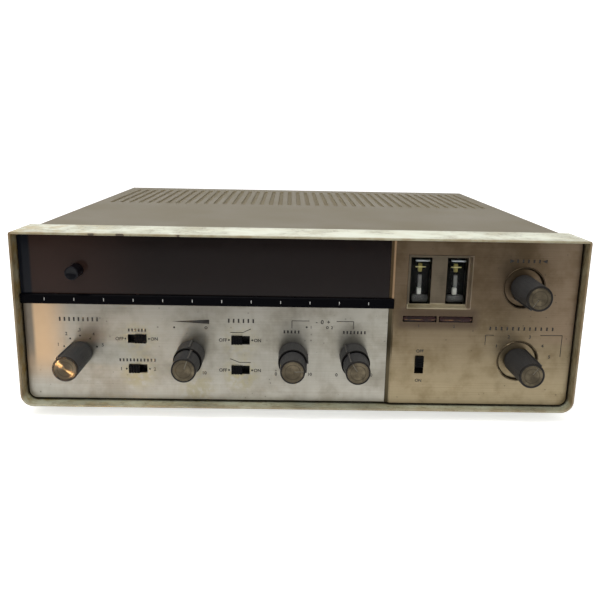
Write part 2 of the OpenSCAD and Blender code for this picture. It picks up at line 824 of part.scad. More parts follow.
module eye_tubes() {
    color("lightcyan", 0.6) placed() for (side = [-1, 1])
        translate([eye_x + side * eye_pitch / 2, eye_tube_y, shelf_z])
            rotate_extrude() tube_profile(eye_tube_r, eye_tube_len);
}

// A bar in front of a pilot lamp, grown by gap when it cuts its own slot
module lens_block(side, y, gap) {
    x = eye_x + side * eye_pitch / 2;
    box([x - lens_w / 2 - gap, x + lens_w / 2 + gap], y,
        [lens_z - lens_h / 2 - gap, lens_z + lens_h / 2 + gap]);
}

module pilot_lenses() {
    color("darkred") placed() for (side = [-1, 1])
        lens_block(side, [gold_y - lens_proud, sub_y0], 0);
}

// Controls behind the panel

// Steps down from a bushing to a can, with a bore for a shaft and one for a sleeve
module twin_pot(x, z) {
    difference() {
        union() {
            rod_y(x, z, [silver_y, sub_y1 + 2], twin_bush_r);
            rod_y(x, z, [sub_y1, sub_y1 + pot_len], pot_r);
            box([x - pot_r / 2, x + pot_r / 2], [sub_y1 + 3, sub_y1 + pot_len - 3],
                [z - pot_r - 4, z]);
        }
        rod_y(x, z, [silver_y - 1, sub_y1 + sleeve_depth], sleeve_r + run_gap);
        rod_y(x, z, [silver_y, sub_y1 + shaft_depth], shaft_r + run_gap);
    }
}

module single_pot(x, z) {
    difference() {
        union() {
            rod_y(x, z, [dish_floor_y, sub_y1 + 2], bush_r);
            rod_y(x, z, [sub_y1, sub_y1 + pot_len], pot_r);
            box([x - pot_r / 2, x + pot_r / 2], [sub_y1 + 3, sub_y1 + pot_len - 3],
                [z - pot_r - 4, z]);
        }
        rod_y(x, z, [dish_floor_y - 1, sub_y1 + shaft_depth], shaft_r + run_gap);
    }
}

module control_pots() {
    color("gainsboro") placed() {
        for (x = [volume_x, bass_x, treble_x]) twin_pot(x, row_z);
        single_pot(right_knob_x, balance_z);
    }
}

// An indexed switch: a bushing, a detent plate and two wafers on spacers
module rotary_switch(x, z, front) {
    last = sub_y1 + 2 * wafer_step + wafer_t;
    difference() {
        union() {
            rod_y(x, z, [front, sub_y1 + 2], bush_r);
            rod_y(x, z, [sub_y1, last], bush_r + 1);
            for (i = [0 : 2])
                rod_y(x, z, [sub_y1 + i * wafer_step, sub_y1 + i * wafer_step + wafer_t], wafer_r);
            for (side = [-1, 1])
                rod_y(x + side * wafer_r * 0.75, z, [sub_y1, last], 1.8);
        }
        rod_y(x, z, [front - 1, sub_y1 + shaft_depth], shaft_r + run_gap);
    }
}

module rotary_switches() {
    color("peru") placed() {
        rotary_switch(selector_x, row_z, silver_y);
        rotary_switch(right_knob_x, mode_z, dish_floor_y);
    }
}

module switch_body(x, z, upright) {
    hx = (upright ? slot_h : slot_l) / 2 + switch_wall;
    hz = (upright ? slot_l : slot_h) / 2 + switch_wall;
    difference() {
        box([x - hx, x + hx], [sub_y1, sub_y1 + slider_depth + switch_wall], [z - hz, z + hz]);
        slider_slot(x, z, upright, [sub_y1 - 1, sub_y1 + slider_depth]);
    }
}

module slide_switches() {
    color("darkslategray") placed() {
        for (x = [left_switch_x, filter_switch_x], z = [low_z, high_z]) switch_body(x, z, false);
        switch_body(speaker_x, speaker_z, true);
    }
}

module power_switch() {
    h = power_body_w / 2;
    bore_end = sub_y1 + stem_len + button_travel + end_gap;
    color("darkslategray") placed() difference() {
        box([power_x - h, power_x + h], [sub_y1, sub_y1 + power_body_l], [power_z - h, power_z + h]);
        rod_y(power_x, power_z, [sub_y1 - 1, bore_end], stem_r + run_gap);
    }
}

// Knobs

// A rib that follows the knob's side from the front radius to the rear radius
module pointer_rib(x, z, y, r, turn) {
    translate([x, 0, z]) rotate([0, turn, 0]) rotate([90, 0, 90])
        linear_extrude(rib_w, center = true) polygon([
            [y[0], r[0] - 1], [y[1], r[1] - 1], [y[1], r[1] + rib_h], [y[0], r[0] + rib_h]
        ]);
}

// A knob body with a pointer rib, a seat for its cap and a bore for its shaft
module knob_body(x, z, y, r, turn) {
    difference() {
        union() {
            turned_y(x, z, y[0]) polygon([
                [0, 0], [r[0] - knob_edge, 0], [r[0], knob_edge], [r[1], y[1] - y[0]],
                [0, y[1] - y[0]]
            ]);
            pointer_rib(x, z, [y[0] + knob_edge + rib_inset, y[1] - rib_inset], r, turn);
        }
        rod_y(x, z, [y[0] - 1, y[0] + cap_t], cap_r + push_gap);
        rod_y(x, z, [y[0] + bore_in, y[1] + 1], shaft_r + push_gap);
    }
}

// A spun cap, dished in the middle, with an index groove to its rim
module knob_cap(x, z, y, turn) {
    color("lightgray") placed() difference() {
        turned_y(x, z, y) polygon([
            [0, cap_dish], [cap_r * 0.86, 0], [cap_r, cap_dish / 2], [cap_r, cap_t], [0, cap_t]
        ]);
        translate([x, y, z]) rotate([0, turn, 0])
            box([-groove_w / 2, groove_w / 2], [-1, cap_dish + 0.3], [cap_r * 0.12, cap_r + 1]);
    }
}

// A steel shaft from a knob's bore to the end of its bearing
module knob_shaft(x, z, y0) {
    color("gold") placed()
        rod_y(x, z, [y0 + bore_in + end_gap, sub_y1 + shaft_depth - end_gap], shaft_r);
}

module plain_knob(x, z, y, rear_r, turn) {
    color([0.16, 0.15, 0.14]) placed() knob_body(x, z, y, [knob_r, rear_r], turn);
}

module stacked_knob(x, turn) {
    color([0.16, 0.15, 0.14]) placed()
        knob_body(x, row_z, [knob_y0, stack_y1], [stack_front_r, stack_rear_r], turn);
}

// The ring knob behind a stacked knob
module ring_knob(x, turn) {
    color([0.2, 0.19, 0.18]) placed() difference() {
        union() {
            turned_y(x, row_z, ring_y0) polygon([
                [0, 0], [ring_r - knob_edge, 0], [ring_r, knob_edge], [ring_r, ring_len],
                [0, ring_len]
            ]);
            pointer_rib(x, row_z, [ring_y0 + knob_edge + rib_inset, ring_y1 - rib_inset],
                [ring_r, ring_r], turn);
        }
        rod_y(x, row_z, [ring_y0 - 1, ring_y1 + 1], sleeve_r + push_gap);
    }
}

// The hollow sleeve that carries a ring knob round the inner shaft
module ring_sleeve(x) {
    color("gold") placed() difference() {
        rod_y(x, row_z, [ring_y0 + 2, sub_y1 + sleeve_depth - end_gap], sleeve_r);
        rod_y(x, row_z, [ring_y0, sub_y1 + sleeve_depth], shaft_r + run_gap);
    }
}

selector_span = [knob_y0, silver_y - knob_gap];
dish_span = [dish_knob_y0, dish_knob_y1];

module selector_knob() {
    plain_knob(selector_x, row_z, selector_span, selector_rear_r, selector_turn);
}
module selector_cap() { knob_cap(selector_x, row_z, knob_y0, selector_turn); }
module selector_shaft() { knob_shaft(selector_x, row_z, knob_y0); }
module volume_knob() { stacked_knob(volume_x, volume_turn); }
module volume_cap() { knob_cap(volume_x, row_z, knob_y0, volume_turn); }
module volume_shaft() { knob_shaft(volume_x, row_z, knob_y0); }
module volume_ring() { ring_knob(volume_x, volume_ring_turn); }
module volume_sleeve() { ring_sleeve(volume_x); }
module bass_knob() { stacked_knob(bass_x, bass_turn); }
module bass_cap() { knob_cap(bass_x, row_z, knob_y0, bass_turn); }
module bass_shaft() { knob_shaft(bass_x, row_z, knob_y0); }
module bass_ring() { ring_knob(bass_x, bass_turn); }
module bass_sleeve() { ring_sleeve(bass_x); }
module treble_knob() { stacked_knob(treble_x, treble_turn); }
module treble_cap() { knob_cap(treble_x, row_z, knob_y0, treble_turn); }
module treble_shaft() { knob_shaft(treble_x, row_z, knob_y0); }
module treble_ring() { ring_knob(treble_x, treble_ring_turn); }
module treble_sleeve() { ring_sleeve(treble_x); }
module balance_knob() {
    plain_knob(right_knob_x, balance_z, dish_span, dish_knob_r, balance_turn);
}
module balance_cap() { knob_cap(right_knob_x, balance_z, dish_knob_y0, balance_turn); }
module balance_shaft() { knob_shaft(right_knob_x, balance_z, dish_knob_y0); }
module mode_knob() { plain_knob(right_knob_x, mode_z, dish_span, dish_knob_r, mode_turn); }
module mode_cap() { knob_cap(right_knob_x, mode_z, dish_knob_y0, mode_turn); }
module mode_shaft() { knob_shaft(right_knob_x, mode_z, dish_knob_y0); }

// Slides and button

// A slide actuator with three finger grooves, resting at one end of its slot
module slider(x, z, face_y, upright, side) {
    y = [face_y - slider_proud, sub_y1 + slider_depth - slide_gap];
    shift = side * slider_travel / 2;
    grooves = 3;
    groove_step = slider_l / (grooves + 1);
    color([0.06, 0.06, 0.06]) placed()
        translate([x + (upright ? 0 : shift), 0, z + (upright ? shift : 0)])
            rotate([0, upright ? 90 : 0, 0]) difference() {
                box([-slider_l / 2, slider_l / 2], y, [-slider_w / 2, slider_w / 2]);
                for (i = [1 : grooves]) {
                    gx = -slider_l / 2 + i * groove_step;
                    box([gx - 0.4, gx + 0.4], [y[0] - 1, y[0] + 0.6], [-slider_w, slider_w]);
                }
            }
}

module left_upper_slider() { slider(left_switch_x, high_z, silver_y, false, 1); }
module left_lower_slider() { slider(left_switch_x, low_z, silver_y, false, -1); }
module filter_upper_slider() { slider(filter_switch_x, high_z, silver_y, false, -1); }
module filter_lower_slider() { slider(filter_switch_x, low_z, silver_y, false, -1); }
module speaker_slider() { slider(speaker_x, speaker_z, gold_y, true, 1); }

module power_button() {
    front = silver_y - button_reach;
    head = button_reach + button_seat;
    tail = sub_y1 + stem_len - front;
    color("black") placed() turned_y(power_x, power_z, front) polygon([
        [0, button_hollow], [button_r * 0.55, button_hollow * 0.6], [button_r * 0.8, 0],
        [button_r - 0.4, 0], [button_r, 0.5], [button_r, head], [stem_r, head],
        [stem_r, tail], [0, tail]
    ]);
}

// Tubes, transformers and capacitors

module tube_sockets() {
    color("wheat") placed() for (p = tube_places) {
        rod_z(p[0], p[1], [deck_z, tube_seat_z], socket_collar_r);
        rod_z(p[0], p[1], [deck_z - socket_depth, deck_z + socket_t / 2], socket_r);
    }
}

// A row of glass tubes of one length, each standing on its socket
module tube_row(places, len) {
    for (p = places)
        translate([p[0], p[1], tube_seat_z]) rotate_extrude() tube_profile(tube_r, len);
}

module tubes() {
    color("lightcyan", 0.6) placed() {
        tube_row(output_places, output_tube_len);
        tube_row(small_places, small_tube_len);
    }
}

// A laminated core with two end bells and a foot flange, standing on the deck
module transformer(x, y, w, h, core, bell) {
    foot_t = 2.5;
    bell_in = w * 0.07;
    slope = bell * 0.4;
    z = [deck_z, deck_z + h];
    box([x - w / 2, x + w / 2], [y - core / 2, y + core / 2], z);
    box([x - w / 2, x + w / 2], [y - core / 2 - bell * 0.6, y + core / 2 + bell * 0.6],
        [deck_z, deck_z + foot_t]);
    for (turn = [0, 180])
        translate([x, y, 0]) rotate([0, 0, turn])
            sloped_block([-w / 2 + bell_in, w / 2 - bell_in], [core / 2 - 0.5, core / 2 + bell],
                [deck_z + bell_in, deck_z + h - bell_in], slope);
}

module power_transformer() {
    color("dimgray") placed()
        transformer(power_tr_x, transformer_y, power_tr_w, power_tr_h, power_tr_core, power_bell);
}

module output_transformers() {
    color("dimgray") placed() for (i = [0, 1])
        transformer(output_tr_x + i * output_tr_pitch, transformer_y, output_tr_w, output_tr_h,
            output_tr_core, output_bell);
}

module filter_capacitors() {
    color("silver") placed() for (p = can_places)
        translate([p[0], p[1], deck_z]) rotate_extrude() polygon([
            [0, 0], [can_r + 2, 0], [can_r + 2, 2], [can_r, 2], [can_r, can_h - 2],
            [can_r - 1.5, can_h], [can_r - 3, can_h], [can_r - 4, can_h - 1.5], [0, can_h - 1.5]
        ]);
}

// Rear fittings

module input_jacks() {
    margin = 7;
    x_hw = (jack_count - 1) / 2 * jack_pitch + jack_r + margin;
    z_hw = jack_row_gap / 2 + jack_r + margin / 2;
    tip = apron_y1 + strip_t + jack_len;
    color("goldenrod") placed() difference() {
        union() {
            box([jack_x - x_hw, jack_x + x_hw], [apron_y1, apron_y1 + strip_t],
                [fitting_z - z_hw, fitting_z + z_hw]);
            for (p = jack_places) rod_y(p[0], p[1], [apron_y0 - 2, tip], jack_r);
        }
        for (p = jack_places) rod_y(p[0], p[1], [apron_y1, tip + 1], jack_hole_r);
    }
}

module speaker_terminals() {
    strip_h = 16;
    head_r = 3.6;
    head_t = 3;
    hw = terminal_count / 2 * terminal_pitch + 3;
    color("sienna") placed() {
        box([terminal_x - hw, terminal_x + hw], [apron_y1, apron_y1 + strip_t],
            [fitting_z - strip_h / 2, fitting_z + strip_h / 2]);
        for (i = [0 : terminal_count - 1]) {
            x = terminal_x + (i - (terminal_count - 1) / 2) * terminal_pitch;
            difference() {
                rod_y(x, fitting_z, [apron_y1 + strip_t / 2, apron_y1 + strip_t + head_t], head_r);
                box([x - head_r, x + head_r], [apron_y1 + strip_t + head_t - 1, apron_y1 + 20],
                    [fitting_z - 0.5, fitting_z + 0.5]);
            }
        }
    }
}

module fuse_holder() {
    grip = 1;
    color("black") placed() {
        turned_y(fuse_x, fitting_z, apron_y1) polygon([
            [0, 0], [fuse_r + 2, 0], [fuse_r + 2, 2], [fuse_r, 3], [fuse_r, fuse_len - grip],
            [fuse_r - grip, fuse_len], [0, fuse_len]
        ]);
        rod_y(fuse_x, fitting_z, [apron_y1 - fuse_body_len, apron_y1 + 1], fuse_barrel_r);
    }
}

module ac_outlets() {
    slit = [1.6, 7];
    slit_gap = 12.7;
    color("saddlebrown") placed() for (x = outlet_places) difference() {
        box([x - outlet_w / 2, x + outlet_w / 2], [apron_y1, apron_y1 + outlet_t],
            [fitting_z - outlet_h / 2, fitting_z + outlet_h / 2]);
        for (side = [-1, 1]) {
            sx = x + side * slit_gap / 2;
            box([sx - slit[0] / 2, sx + slit[0] / 2], [apron_y1 + 1, apron_y1 + outlet_t + 1],
                [fitting_z - slit[1] / 2, fitting_z + slit[1] / 2]);
        }
    }
}

module cord_gland() {
    collar = 2;
    reach = 5;
    color("black") placed() difference() {
        union() {
            rod_y(gland_x, fitting_z, [apron_y1, apron_y1 + reach], gland_r + collar);
            rod_y(gland_x, fitting_z, [apron_y0 - reach, apron_y1 + 1], gland_r);
        }
        rod_y(gland_x, fitting_z, [apron_y0 - reach - 1, apron_y1 + reach + 1], gland_hole_r);
    }
}

front_frame();
top_cover();
chassis();
front_wall();
rear_apron();
bottom_pan();
feet();
cover_screws();
sub_panel();
silver_panel();
dark_window();
trim_bar();
gold_panel();
eye_bezel();
eye_tubes();
pilot_lenses();
slide_switches();
rotary_switches();
control_pots();
power_switch();
power_transformer();
output_transformers();
filter_capacitors();
tube_sockets();
tubes();
input_jacks();
speaker_terminals();
fuse_holder();
ac_outlets();
cord_gland();
selector_knob();
selector_cap();
selector_shaft();
volume_knob();
volume_cap();
volume_shaft();
volume_ring();
volume_sleeve();
bass_knob();
bass_cap();
bass_shaft();
bass_ring();
bass_sleeve();
treble_knob();
treble_cap();
treble_shaft();
treble_ring();
treble_sleeve();
balance_knob();
balance_cap();
balance_shaft();
mode_knob();
mode_cap();
mode_shaft();
left_upper_slider();
left_lower_slider();
filter_upper_slider();
filter_lower_slider();
speaker_slider();
power_button();
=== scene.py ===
"""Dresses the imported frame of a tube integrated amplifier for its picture.

Lengths are metres in the frame of the CAD model: X to the right, the front faces -Y, Z up.
Each sub-assembly is a class that holds its sizes and builds and dresses its own pieces.
"""

import logging
import math
from collections.abc import Sequence
from dataclasses import dataclass, field
from enum import Enum
from functools import cached_property
from typing import ClassVar

import bmesh
import bpy
import numpy as np
from mathutils import Matrix, Vector

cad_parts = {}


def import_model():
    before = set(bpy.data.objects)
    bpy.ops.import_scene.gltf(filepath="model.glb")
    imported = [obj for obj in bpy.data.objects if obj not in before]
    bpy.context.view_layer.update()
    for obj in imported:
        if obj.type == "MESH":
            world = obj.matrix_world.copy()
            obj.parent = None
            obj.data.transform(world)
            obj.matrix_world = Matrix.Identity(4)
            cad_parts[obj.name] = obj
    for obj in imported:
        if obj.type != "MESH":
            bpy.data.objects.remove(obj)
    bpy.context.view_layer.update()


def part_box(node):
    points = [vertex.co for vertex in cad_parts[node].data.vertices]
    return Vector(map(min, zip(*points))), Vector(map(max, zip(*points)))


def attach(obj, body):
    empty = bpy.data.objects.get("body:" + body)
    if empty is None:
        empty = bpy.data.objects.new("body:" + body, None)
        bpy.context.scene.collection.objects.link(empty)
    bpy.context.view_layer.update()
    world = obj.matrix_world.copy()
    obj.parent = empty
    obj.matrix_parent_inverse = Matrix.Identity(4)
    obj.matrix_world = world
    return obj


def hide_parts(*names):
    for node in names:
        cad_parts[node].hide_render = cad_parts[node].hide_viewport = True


Array = np.ndarray
Span = tuple[float, float]
Point = tuple[float, float, float]
Colour = tuple[float, float, float]
Socket = bpy.types.NodeSocket
Feed = float | Colour | Socket
Dressing = dict[str, tuple[str, ...]]

LOG = logging.getLogger("amplifier")
MM = 0.001
QUARTER = 0.5 * np.pi
FILM = 0.04 * MM
FAR = 1.0


# Surfaces


class Along(Enum):
    """A direction, by the number of its coordinate."""

    ACROSS = 0
    DEPTH = 1
    HEIGHT = 2


class Shell(Enum):
    """How a surface is finished: a closed body, or a flat print that gets a thickness."""

    CLOSED = "closed"
    PRINT = "print"


def around(spokes: int) -> Array:
    """Angles of the spokes round a full circle."""
    return np.linspace(0.0, 2.0 * np.pi, spokes, endpoint=False)


def smooth_step(value: Array, low: float, high: float) -> Array:
    """Rises from 0 at low to 1 at high as 3 t squared less 2 t cubed."""
    t = np.clip((value - low) / (high - low), 0.0, 1.0)
    return t * t * (3.0 - 2.0 * t)


def middle_of(node: str) -> Span:
    """X and Z of the middle of a CAD node."""
    low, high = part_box(node)
    return (low.x + high.x) / 2.0, (low.z + high.z) / 2.0


def grid_quads(rows: int, columns: int, loop_rows: bool, loop_columns: bool) -> Array:
    """Faces of a grid whose point (i, j) has the number i times columns plus j.

    Args:
        rows: points in the first direction.
        columns: points in the second direction.
        loop_rows: whether the last row joins the first.
        loop_columns: whether the last column joins the first.

    Returns:
        One row of four point numbers per face.
    """
    i = np.arange(rows if loop_rows else rows - 1)[:, None]
    j = np.arange(columns if loop_columns else columns - 1)[None, :]
    next_i = (i + 1) % rows
    next_j = (j + 1) % columns
    corners = (i * columns + j, i * columns + next_j, next_i * columns + next_j, next_i * columns + j)
    return np.stack(np.broadcast_arrays(*corners), axis=-1).reshape(-1, 4)


@dataclass
class Patch:
    """A computed surface: its points, its faces of four and three points, and a wear value per point."""

    points: Array
    quads: Array = field(default_factory=lambda: np.zeros((0, 4), int))
    tris: Array = field(default_factory=lambda: np.zeros((0, 3), int))
    wear: Array | None = None

    @staticmethod
    def joined(parts: Sequence["Patch"]) -> "Patch":
        """Puts surfaces together as one, each one's face numbers shifted past the points before it.

        Args:
            parts: the surfaces, in order.

        Returns:
            The joined surface.
        """
        starts = np.cumsum([0] + [len(part.points) for part in parts])
        return Patch(
            np.concatenate([part.points for part in parts]),
            np.concatenate([part.quads + start for part, start in zip(parts, starts)]),
            np.concatenate([part.tris + start for part, start in zip(parts, starts)]),
        )

    @staticmethod
    def looped(rings: Array, wear: Array | None = None) -> "Patch":
        """A closed band of rings, of which the last joins the first."""
        return Patch(rings.reshape(-1, 3), grid_quads(*rings.shape[:2], True, True), wear=wear)

    @staticmethod
    def capped(rings: Array, ends: Array | None = None) -> "Patch":
        """A stack of rings, closed at each end by a fan to one point.

        Args:
            rings: points by ring and spoke.
            ends: the two points, or none for the middles of the end rings.

        Returns:
            The closed surface.
        """
        count, spokes = rings.shape[:2]
        if ends is None:
            ends = rings[[0, -1]].mean(axis=1)
        spoke = np.arange(spokes)
        beside = (spoke + 1) % spokes
        last = (count - 1) * spokes
        past = count * spokes
        fans = (
            np.stack([np.full(spokes, past), beside, spoke], axis=-1),
            np.stack([np.full(spokes, past + 1), last + spoke, last + beside], axis=-1),
        )
        points = np.concatenate([rings.reshape(-1, 3), ends])
        return Patch(points, grid_quads(count, spokes, False, True), np.concatenate(fans))


def turned(radius: Array, station: Array, spokes: int, centre: Span, along: Along) -> Array:
    """Turns a profile round an axis.

    With a the angle of a spoke, a point lies radius times sin a and radius times cos a across the
    axis, at its station along it.

    Args:
        radius: radius of each ring, or of each ring and spoke.
        station: place of each ring along the axis, or of each ring and spoke.
        spokes: points in a ring.
        centre: where the axis lies, X first.
        along: the axis's direction.

    Returns:
        The points by ring and spoke.
    """
    rings = len(radius)
    radius = np.reshape(radius, (rings, -1))
    points = np.empty((rings, spokes, 3))
    points[..., 0] = centre[0] + radius * np.sin(around(spokes))
    points[..., 3 - along.value] = centre[1] + radius * np.cos(around(spokes))
    points[..., along.value] = np.reshape(station, (rings, -1))
    return points


def rounded_block(low: Array, high: Array, power: float) -> Patch:
    """A block with soft edges, from a superellipsoid that fills a box.

    With u the height angle and v the turn, x, y and z are half the box's sides times signed powers
    of cos u cos v, cos u sin v and sin u; a small power gives a sharper block.

    Args:
        low: lowest corner.
        high: highest corner.
        power: the exponent, from 0 for a box to 1 for a ball.

    Returns:
        The closed surface.
    """
    rows = 25
    columns = 64
    u = np.linspace(-QUARTER, QUARTER, rows + 2)[1:-1, None]
    v = around(columns)[None, :]

    def bent(value: Array) -> Array:
        """The signed power of a sine or cosine."""
        return np.sign(value) * np.abs(value) ** power

    waist = bent(np.cos(u))
    sides = (waist * bent(np.cos(v)), waist * bent(np.sin(v)), bent(np.sin(u)))
    rings = np.stack(np.broadcast_arrays(*sides), axis=-1)
    poles = np.array([[0.0, 0.0, -1.0], [0.0, 0.0, 1.0]])
    half = (high - low) / 2.0
    middle = (high + low) / 2.0
    return Patch.capped(middle + half * rings, middle + half * poles)


# Nodes of a material


class Blend(Enum):
    """How one colour lies over another."""

    MIX = "MIX"
    MULTIPLY = "MULTIPLY"
    LIGHTEN = "LIGHTEN"


class Nodes:
    """Builds nodes in a tree; patterns are placed by Object coordinates."""

    def __init__(self, tree: bpy.types.NodeTree) -> None:
        """Works on a tree that has its output."""
        self.tree = tree

    def feed(self, socket: Socket, value: Feed) -> None:
        """Links a source to a socket, or sets the socket's own constant.

        Args:
            socket: the input.
            value: another node's output, a number, a vector or a colour.
        """
        if isinstance(value, bpy.types.NodeSocket):
            self.tree.links.new(value, socket)
        elif isinstance(value, tuple) and len(socket.default_value) == 4:
            socket.default_value = (*value, 1.0)
        else:
            socket.default_value = value

    def node(self, kind: str, inputs: dict[int | str, Feed], **options: str) -> bpy.types.Node:
        """Adds a node.

        Args:
            kind: Blender's name of it.
            inputs: what each input gets.
            options: its settings.

        Returns:
            The node.
        """
        node = self.tree.nodes.new(kind)
        for option, choice in options.items():
            setattr(node, option, choice)
        for socket, value in inputs.items():
            self.feed(node.inputs[socket], value)
        return node

    def place(self, scale: Point = (1.0, 1.0, 1.0), offset: Point = (0.0, 0.0, 0.0)) -> Socket:
        """Object coordinates, stretched on each axis and then moved."""
        where = self.node("ShaderNodeTexCoord", {}).outputs["Object"]
        return self.node(
            "ShaderNodeMapping", {"Vector": where, "Scale": scale, "Location": offset}
        ).outputs["Vector"]

    def axis(self, letter: str) -> Socket:
        """The Object coordinate of one axis, X, Y or Z."""
        return self.node("ShaderNodeSeparateXYZ", {0: self.place()}).outputs[letter]

    def attribute(self, name: str) -> Socket:
        """The value of the mesh's own attribute."""
        return self.node("ShaderNodeAttribute", {}, attribute_name=name).outputs["Fac"]

    def noise(self, where: Socket, scale: float, detail: float = 4.0, rough: float = 0.55) -> Socket:
        """Cloud noise from 0 to 1, by its clouds per metre, its octaves and the share of the finer ones."""
        inputs = {"Vector": where, "Scale": scale, "Detail": detail, "Roughness": rough}
        return self.node("ShaderNodeTexNoise", inputs).outputs["Fac"]

    def cells(self, where: Socket, scale: float) -> Socket:
        """Distance to the nearest of scattered points, by their number per metre."""
        return self.node("ShaderNodeTexVoronoi", {"Vector": where, "Scale": scale}).outputs["Distance"]

    def ramp(self, value: Socket, low: float, high: float, start: float = 0.0, end: float = 1.0) -> Socket:
        """A smooth change of a value, from start up to low to end from high on."""
        inputs = dict(enumerate((value, low, high, start, end)))
        return self.node("ShaderNodeMapRange", inputs, interpolation_type="SMOOTHSTEP").outputs[0]

    def inside(self, value: Socket, span: Span, soft: float) -> Socket:
        """1 from one value to another, falling to 0 past each over a soft edge."""
        rise = self.ramp(value, span[0] - soft, span[0])
        return self.times(rise, self.ramp(value, span[1], span[1] + soft, 1.0, 0.0))

    def maths(self, what: str, first: Feed, second: Feed = 0.0) -> Socket:
        """An operation on one or two values, by Blender's name of it."""
        return self.node("ShaderNodeMath", {0: first, 1: second}, operation=what).outputs[0]

    def times(self, first: Feed, second: Feed) -> Socket:
        """The product of two values."""
        return self.maths("MULTIPLY", first, second)

    def less(self, first: Feed, second: Feed) -> Socket:
        """The first value less the second."""
        return self.maths("SUBTRACT", first, second)

    def size(self, value: Feed) -> Socket:
        """A value without its sign."""
        return self.maths("ABSOLUTE", value)

    def distance(self, first: Socket, second: Socket) -> Socket:
        """The root of the summed squares of two values."""
        squares = (self.times(first, first), self.times(second, second))
        return self.maths("SQRT", self.maths("ADD", *squares))

    def mix(self, share: Feed, first: Feed, second: Feed, how: Blend = Blend.MIX) -> Socket:
        """Two colours blended, the first at a share of 0 and the second at 1."""
        inputs = {0: share, 6: first, 7: second}
        return self.node("ShaderNodeMix", inputs, data_type="RGBA", blend_type=how.value).outputs[2]


@dataclass(frozen=True)
class Tone:
    """A change of colour from one place to another along an axis."""

    axis: str
    start: float
    end: float
    colour: Colour
    how: Blend = Blend.MIX

    def over(self, s: Nodes, under: Feed) -> Socket:
        """Lays the tone over a colour."""
        return s.mix(s.ramp(s.axis(self.axis), self.start, self.end), under, self.colour, self.how)


@dataclass(frozen=True)
class Spot:
    """A round mark or ring about an axis along the depth, between two radii with soft edges."""

    centre: Span
    radii: Span
    soft: float
    colour: Colour
    strength: float

    def share(self, s: Nodes) -> Socket:
        """How much of it shows, by the distance from its centre."""
        across, up = (s.less(s.axis(letter), middle) for letter, middle in zip("XZ", self.centre))
        return s.times(self.strength, s.inside(s.distance(across, up), self.radii, self.soft))


@dataclass(frozen=True)
class Band:
    """A box of colour across the front, from one place to another along X and Z, with soft edges."""

    x: Span
    z: Span
    soft: Span
    colour: Colour
    strength: float = 1.0

    def share(self, s: Nodes) -> Socket:
        """How much of it shows: the product of its shares along both axes."""
        sides = zip("XZ", (self.x, self.z), self.soft)
        return s.times(
            self.strength, s.times(*(s.inside(s.axis(letter), span, soft) for letter, span, soft in sides))
        )


@dataclass(frozen=True)
class GapShade:
    """Painted shade of the gap along the sides and foot of the front panels, round their lower corners."""

    half: float
    foot: float
    corner: float = 6.6 * MM
    width: float = 0.8 * MM
    soft: float = 0.4 * MM
    colour: Colour = (0.022, 0.018, 0.012)

    def share(self, s: Nodes) -> Socket:
        """How much of it shows, by the distance past the corners' centres.

        Args:
            s: the finish that it lies in.

        Returns:
            The value output.
        """
        beside = s.less(s.size(s.axis("X")), self.half - self.corner)
        below = s.less(self.foot + self.corner, s.axis("Z"))
        away = s.distance(s.maths("MAXIMUM", beside, 0.0), s.maths("MAXIMUM", below, 0.0))
        edge = self.corner - self.width
        return s.ramp(away, edge - self.soft, edge)


# Finishes


@dataclass(frozen=True)
class Finish(Nodes):
    """A material round a principled shader, made when it is first used."""

    name: str

    @cached_property
    def blank(self) -> bpy.types.Material:
        """The material before it is painted.

        Returns:
            A new material with nodes.
        """
        material = bpy.data.materials.new(self.name)
        material.use_nodes = True
        return material

    @cached_property
    def material(self) -> bpy.types.Material:
        """The painted material."""
        self.paint()
        return self.blank

    @property
    def tree(self) -> bpy.types.NodeTree:
        """The material's nodes."""
        return self.blank.node_tree

    def paint(self) -> None:
        """Builds the nodes, which each kind of finish does in its own way."""
        raise NotImplementedError

    def set(self, **values: Feed) -> None:
        """Feeds the shader's inputs, each named in lower case with underscores."""
        for name, value in values.items():
            title = name.replace("_", " ").title().replace("Ior", "IOR")
            self.feed(self.tree.nodes["Principled BSDF"].inputs[title], value)

    def bump(self, height: Socket, depth: float, strength: float) -> None:
        """Tilts the surface by a height from 0 to 1, by its depth in metres and the share of the effect."""
        inputs = {"Strength": strength, "Distance": depth, "Height": height}
        self.set(normal=self.node("ShaderNodeBump", inputs).outputs["Normal"])


